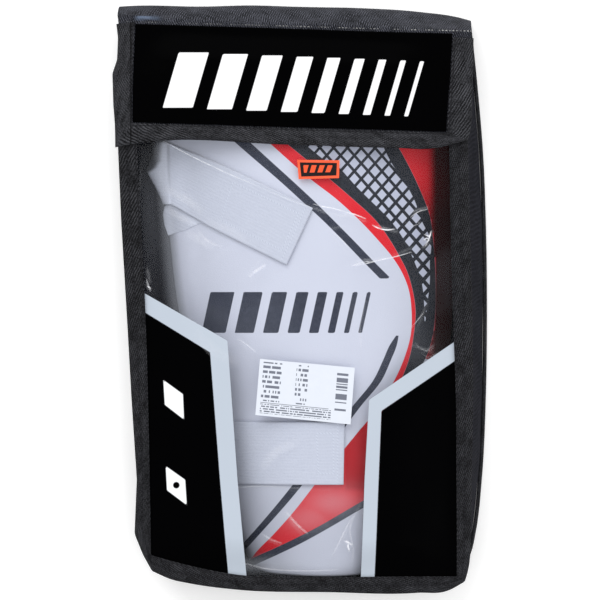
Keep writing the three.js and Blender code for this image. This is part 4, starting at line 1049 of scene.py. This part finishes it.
def strap(name, end_u, end_v, edge_v, slope, loose, hem, box_end, dark):
    end = np.array([float(guard_x(end_u)), float(guard_y(end_v))])
    edge_y = float(guard_y(edge_v))
    turn, back = 3.0, CLOTH + GAP
    across = np.linspace(0, 1, 40)[None, :]
    stop = np.concatenate([np.linspace(0, FACE, 110), np.linspace(FACE, BEND, 34)[1:],
                           np.linspace(BEND, BEHIND, 40)[1:]])[:, None]
    A, S = np.broadcast_arrays(across, stop)
    aside = (0.5 - A) * ELASTIC_W
    y0 = edge_y + aside
    edge_x = guard_side(y0) + turn
    low = back + ELASTIC
    high = guard_top(edge_x, y0) + STRAP_SEAT
    far = float(guard_x(GUARD_SIDES(edge_v, "right"))) - 2 * turn

    def at(lift):
        s = np.clip(S / FACE, 0, 1)
        angle = slope * (1 - ease(s * s))
        fx = mix(end[0], edge_x, s) + aside * np.sin(angle)
        fy = mix(end[1], edge_y, s) + aside * np.cos(angle)
        fz = guard_top(np.maximum(fx, edge_x), fy) + STRAP_SEAT + lift
        bend = np.clip((S - FACE) / (BEND - FACE), 0, 1) * np.pi
        fold = np.clip(1 - np.abs(A - 0.45) / 0.55, 0, 1) ** 1.2
        slack = loose * fold * np.sin(bend)
        bx = edge_x - (turn + GAP + 1 + slack + lift) * np.sin(bend)
        bz = (high + low) / 2 + ((high - low) / 2 + lift) * np.cos(bend)
        k = np.clip((S - BEND) / (BEHIND - BEND), 0, 1)
        x = np.where(S <= FACE, fx, np.where(S < BEND, bx, mix(edge_x, far, k)))
        y = np.where(S <= FACE, fy, y0)
        z = np.where(S <= FACE, fz, np.where(S < BEND, bz, low - lift))
        return stack(x, y, z)

    inner, outer = at(0.0), at(ELASTIC)
    run = run_along(inner[:, 20])[:, None]
    mm, w = run, A * ELASTIC_W
    puff = 0.25 * bell(mm - hem, 1.2) + 0.2 * (np.sin(A * np.pi * 2 * 19) * 0.12)
    outer = outer + stack(0, 0, np.where(S < FACE + 1, puff - 0.25 * bell(mm, 1.0), 0))
    box = np.abs(np.maximum(np.maximum(8 - mm, mm - box_end), np.abs(w - ELASTIC_W / 2) - ELASTIC_W * 0.32))
    hem_line = np.abs(mm - hem)
    # shade: painted shade and light given by the function passed as dark
    o = shell(name, outer, inner,
              {"run": np.broadcast_to(mm, A.shape), "side": A, "box": np.minimum(box, hem_line),
               "shade": dark(outer[..., 0], outer[..., 1])})
    o.data.flip_normals()
    paint(o, ELASTIC_MAT)
    return o, float(run[-1, 0])


ELASTIC_MAT = elastic_material()


def upper_shade(x, y):
    """Painted shade where the strap dips round the guard's edge and above the fold's tip, and painted light
    on the tip itself.
    """
    qx, qy = photo(x, y)
    edge = np.interp(qy, [140, 160, 167, 171, 175], [159, 157.5, 153, 147, 140])
    return mix(0.1, 1.0, ease((qx - edge) / 7 + 0.35)) * (1 + 0.45 * ease((qx - 167) / 3)
                                                          * bell(np.maximum(qx - 170, 0), 15))


def lower_shade(x, y):
    # painted shade where the lower strap dips round the guard's left edge
    return mix(0.3, 1.0, ease((x + 78) / 16))


strap_up, up_len = strap("elastic_upper", -0.056, 0.627, 0.746, 0.435, 11.0, 5.0, 62, upper_shade)
strap_low, low_len = strap("elastic_lower", 0.245, 0.226, 0.2255, 0.02, 2.0, 5.0, 20, lower_shade)


def strap_fold():
    """The corner of the upper strap's back layer that shows under its lower edge."""
    left = np.array([px(*c) for c in ((170, 200), (163, 206), (161.5, 214), (163, 224), (167, 235))])
    right = np.array([px(*c) for c in ((236, 226), (218, 222), (202, 222), (192, 226), (184, 230))])
    r, c = np.linspace(0, 1, 30)[:, None], np.linspace(0, 1, 34)[None, :]
    k = np.linspace(0, 1, 5)
    L, R = (np.stack([np.interp(r[:, 0], k, e[:, i]) for i in (0, 1)], -1) for e in (left, right))
    p = L[:, None, :] + (R - L)[:, None, :] * c[..., None]
    x, y = p[..., 0], p[..., 1]
    edge = guard_side(y)
    z = guard_top(np.maximum(x, edge + 5), y) + 0.08 - np.maximum(edge + 5 - x, 0) * 0.7
    z = z + 0.1 * np.sin(x / 3 + y / 5)
    # painted shade at the guard's edge, and painted light over the rest of the fold
    shade = mix(0.6, 1.16, ease((x - edge + 7) / 9)) * (1 - 0.1 * bell(x - edge - 3, 3))
    o = shell("elastic_fold", stack(x, y, z + 0.3)[::-1], stack(x, y, z)[::-1],
              {"run": (x * 0.9 - y * 0.43)[::-1], "side": ((x * 0.43 + y * 0.9) / ELASTIC_W)[::-1],
               "box": np.full_like(x, 9.0), "shade": shade[::-1]})
    paint(o, ELASTIC_MAT)
    with bpy.context.temp_override(active_object=strap_up, selected_editable_objects=[strap_up, o]):
        bpy.ops.object.join()


strap_fold()


# Pouch
def frame_tape():
    rails = [outline(FRONT), outline(PANE)]
    o = sweep("front_tape", rails, tape_profile(LIP, 0.6), True, lambda x, y: SEAT, wobble=0.35, seed=3)
    paint(o, TAPE_FRONT)
    return o


def back_tape():
    outer = outline(BACK)
    inner = inset(outer, CORD, True)
    ring = [(0.35, 0), (1, 0), (1, 1), (0.7, 1.02), (0.5, 0.98), (0.25, 0.88), (0.1, 0.74), (0, 0.45),
            (0.04, 0.2), (0.15, 0.06)]
    o = sweep("back_tape", [outer, inner], lambda width: [(a, b * CORD_H) for a, b in ring], True,
              lambda x, y: 0.0)
    paint(o, TAPE_BACK)
    return o


def gusset():
    top = 1 - (CORD + 2 * GAP) / LENGTH
    low, high = outline(BACK, False, top), outline(FRONT, False, top)
    both, at, total = resample(np.concatenate([low, high], 1), 3.0, False)
    low, high = both[:, :2], both[:, 2:]
    start, brim = CLOTH + GAP, FILM_EDGE - 0.8 - GAP
    h = np.linspace(0, 1, 26)
    lean = np.clip((start + (brim - start) * h - CORD_H - GAP) / (SEAT - LIP - CORD_H - 2 * GAP), 0, 1)
    lean = ease(lean) * 0.4 + lean * 0.6
    wave = 0.8 * np.sin(at / 23)[:, None] * np.sin(np.pi * h)[None, :]
    wave = wave + 0.5 * np.sin(at / 9.7 + 1)[:, None] * np.sin(2 * np.pi * h)[None, :] ** 2

    def face(thick):
        a, b = inset(low, CORD + GAP + thick, False), inset(high, TAPE + GAP + thick, False)
        p = a[:, None, :] + (b - a)[:, None, :] * lean[None, :, None]
        n = inset(low, 1.0, False) - low
        p = p - n[:, None, :] * (wave * 0.7 + 0.3 * np.sin(np.pi * h)[None, :])[..., None]
        return stack(p[..., 0], p[..., 1], start + (brim - start) * h[None, :])

    o = shell("side_wall", face(0.0), face(CLOTH))
    bm_fix(o.data)
    paint(o, NYLON)
    return o, total


def flap_pieces():
    u = np.concatenate([np.linspace(0, 0.1, 20), np.linspace(0.1, 0.9, 110)[1:], np.linspace(0.9, 1, 20)[1:]])
    u = u[None, :]
    ridge = pouch_y(ENDS(u, "ridge"))
    bx, by = on_pouch(BACK, u, np.ones_like(u))
    first = flap_first(u)

    def place(uu, down):
        left, right = FLAP_SIDES(down, "left", False), FLAP_SIDES(down, "right")
        return pouch_x(mix(left, right, uu)), flap_y(down)

    rx, _ = place(u, first)
    top = flap_under(rx, ridge)
    last = FLAP_ENDS(u, "bottom")
    rows, normals = [], []
    for s in np.linspace(0, 1, 22):
        k = ease(s) * 0.25 + s * 0.75
        sag = (mix(4.2, 1.2, ease((u - 0.35) / 0.6)) + 0.6 * np.sin(u * 21)) * np.sin(np.pi * s) ** 0.8
        rows.append((mix(bx, rx, k), mix(by - CLOTH - GAP, ridge - 0.4, k) + sag,
                     mix(CORD_H + GAP, top - 1.6, s)))
        normals.append(mix(0.06, 0.42, s ** 6))
    for turn in (0.5, 0.62, 0.75, 0.88):
        a = (turn - 0.42) / 0.58 * np.pi / 2
        rows.append((rx, ridge - 1.6 + 1.2 * np.cos(a), top - 1.6 + 1.6 * np.sin(a)))
        normals.append(turn)
    for s in np.linspace(0.03, 1, 66):
        down = mix(first, last, s)
        x, y = place(u, down)
        rows.append((x, y, flap_under(x, y)))
        normals.append(1.0)
    grid = np.array([stack(*[np.broadcast_to(c, u.shape) for c in r])[0] for r in rows])
    ang = np.array(normals)[:, None] * np.pi / 2
    out = grid + np.stack([np.zeros_like(grid[..., 0]), np.cos(ang) * CLOTH + 0 * grid[..., 0],
                           np.sin(ang) * CLOTH + 0 * grid[..., 0]], -1)
    run = np.concatenate([np.zeros((1, u.shape[1])),
                          np.cumsum(np.linalg.norm(np.diff(out, axis=0), axis=2), axis=0)])
    edge = pouch_y(FLAP_TOP) - FLAP_ENDS(u, "panelTop") * DROP
    seam = out[..., 1] - (edge + 1.3)
    ax, ay = photo(out[..., 0], out[..., 1])
    # where the painted highlight at the spine's left end lies
    glint = ease((ax - 133) / 5) * ease((163 - ax) / 12) * ease((ay - 15.5) / 1.5) * ease((20.5 - ay) / 1.5)
    o = shell("flap", out, grid, {"seam": seam, "place": out[..., 0], "glint": glint})
    bm_fix(o.data)
    paint(o, FLAP_CLOTH)
    # tape round its edges
    s = np.linspace(0.07, 0.93, 60)

    def side(uu):
        f = flap_first(np.array(uu))
        down = mix(f, FLAP_ENDS(uu, "bottom"), s)
        near = mix(f, FLAP_ENDS(uu, "panelBottom"), 0.98 * s)
        x, y = place(uu, down)
        nx = pouch_x(FLAP_SIDES(near, "panelRight" if uu else "panelLeft"))
        return np.stack([x, y, nx, flap_y(near)], -1)

    e = np.concatenate([np.linspace(0, 0.1, 12), np.linspace(0.1, 0.9, 50)[1:-1], np.linspace(0.9, 1, 16)])
    x, y = place(e, FLAP_ENDS(e, "bottom"))
    high = FLAP_ENDS(e, "panelBottom")
    nx = pouch_x(mix(FLAP_SIDES(high, "panelLeft"), FLAP_SIDES(high, "panelRight"), e))
    ends = np.stack([x, y, nx, flap_y(high)], -1)
    rails = np.concatenate([side(0), ends, side(1)[::-1]])
    outer = inset(rails[:, :2], -TAPE - GAP, False)
    tape = sweep("flap_tape", [outer, rails[:, 2:]], tape_profile(CLOTH, -0.55), False, flap_top, wobble=0.25,
                 seed=9)
    paint(tape, TAPE_FLAP)
    # glossy panel
    w, h = np.meshgrid(np.linspace(0, 1, 230), np.linspace(0, 1, 80))
    lo = FLAP_ENDS(w, "panelBottom") - 0.007
    hi = FLAP_ENDS(w, "panelTop") + 0.007
    down = mix(lo, hi, h)
    xl, xr = (pouch_x(FLAP_SIDES(down, k)) for k in ("panelLeft", "panelRight"))
    x, y = mix(xl + 0.6, xr - 0.6, w), flap_y(down)
    z = flap_top(x, y) + GAP
    bars = np.full_like(x, -1e3)
    widths = (30, 25, 20.5, 16.5, 13, 10, 7.5, 5.5, 4)
    gap = 12.6
    for i, wd in enumerate(widths):
        start = 163 + sum(widths[:i]) + i * gap * 1.12
        tilt = 0.036 * (start - 163)
        lean = [(start + 16, 53 + tilt), (start + 16 + wd, 53 + tilt), (start + wd, 108 + tilt),
                (start, 108 + tilt)]
        bars = np.maximum(bars, poly_sdf(x, y, [px(*p) for p in lean]))
    panel = shell("panel", stack(x, y, z + PANEL), stack(x, y, z), {"bars": bars})
    paint(panel, panel_material())
    return o, tape, panel, float(run[-1].mean())


front = frame_tape()
back = back_tape()
wall, wall_len = gusset()
flap, flap_tape, panel, flap_len = flap_pieces()

paint(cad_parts["pouch_back"], INSIDE)
paint(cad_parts["guard_pad"], foam_material())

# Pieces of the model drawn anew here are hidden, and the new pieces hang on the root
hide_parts("pouch_window", "print_left", "print_right", "print_left_border", "print_right_border",
            "print_lozenge_upper", "print_lozenge_lower")
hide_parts("sticker_white")
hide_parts("sticker_orange_edge")
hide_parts("sticker_dark_field")
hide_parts("guard_facing", "stripe_slate_upper", "stripe_slate_lower", "stripe_red_curve",
            "stripe_black_field", "stripe_red_side", "stripe_red_wedge", "stripe_wedge_line")
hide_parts("strap_upper")
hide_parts("strap_lower")
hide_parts("pouch_front_frame")
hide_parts("pouch_back_binding")
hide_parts("pouch_gusset")
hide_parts("flap_cloth")
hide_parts("flap_binding")
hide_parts("flap_panel")
for piece, name in ((FILM, "film"), (label, "sticker_white"), (size_edge, "sticker_orange"),
                    (size_field, "sticker_dark"), (facing, "facing_white"), (strap_up, "elastic"),
                    (strap_low, "elastic"), (front, "binding_tape"), (back, "binding_tape"),
                    (wall, "nylon"), (flap, "nylon"), (flap_tape, "binding_tape"),
                    (panel, "panel_black")):
    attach(piece, "root")

round(flap_len * M, 3)


# Floor, light and camera
def floor_material():
    t = Tree("floor")
    v = t.noise(30.0, 3.0)
    return t.done(t.principled(Base_Color=t.mixc(v, (0.93, 0.93, 0.93), (0.96, 0.96, 0.96)), Roughness=0.9,
                               Specular_IOR_Level=0.0, Emission_Color=(1, 1, 1, 1), Emission_Strength=0.22))


FAR = 6000
floor = make("floor", [(-FAR, -FAR, 0), (FAR, -FAR, 0), (FAR, FAR, 0), (-FAR, FAR, 0)], [(0, 1, 2, 3)])
paint(floor, floor_material())

world = bpy.data.worlds.new("studio")
world.use_nodes = True
world.node_tree.nodes["Background"].inputs[0].default_value = (1, 1, 1, 1)
world.node_tree.nodes["Background"].inputs[1].default_value = 0.85
bpy.context.scene.world = world


def lamp(name, place, target, size, watts):
    data = bpy.data.lights.new(name, "AREA")
    data.shape, data.size, data.energy = "SQUARE", size, watts
    o = bpy.data.objects.new(name, data)
    bpy.context.scene.collection.objects.link(o)
    o.location = place
    o.rotation_euler = (Vector(target) - Vector(place)).to_track_quat("-Z", "Y").to_euler()


lamp("key", (-0.6, 1.5, 1.6), (0, 0, 0), 1.8, 26)
lamp("fill", (1.4, -0.5, 1.6), (0, 0, 0), 1.6, 8)

cam_data = bpy.data.cameras.new("camera")
cam = bpy.data.objects.new("camera", cam_data)
bpy.context.scene.collection.objects.link(cam)
cam_data.lens = 300  # a long lens, as the photo shows next to no perspective
cam_data.sensor_width = 36
cam_data.clip_end = 50
cam.location = (-0.0001, -0.0015, 0.044 + 3.75)
cam.rotation_euler = (0, 0, 0)
bpy.context.scene.camera = cam
bpy.context.scene.view_settings.view_transform = "Standard"
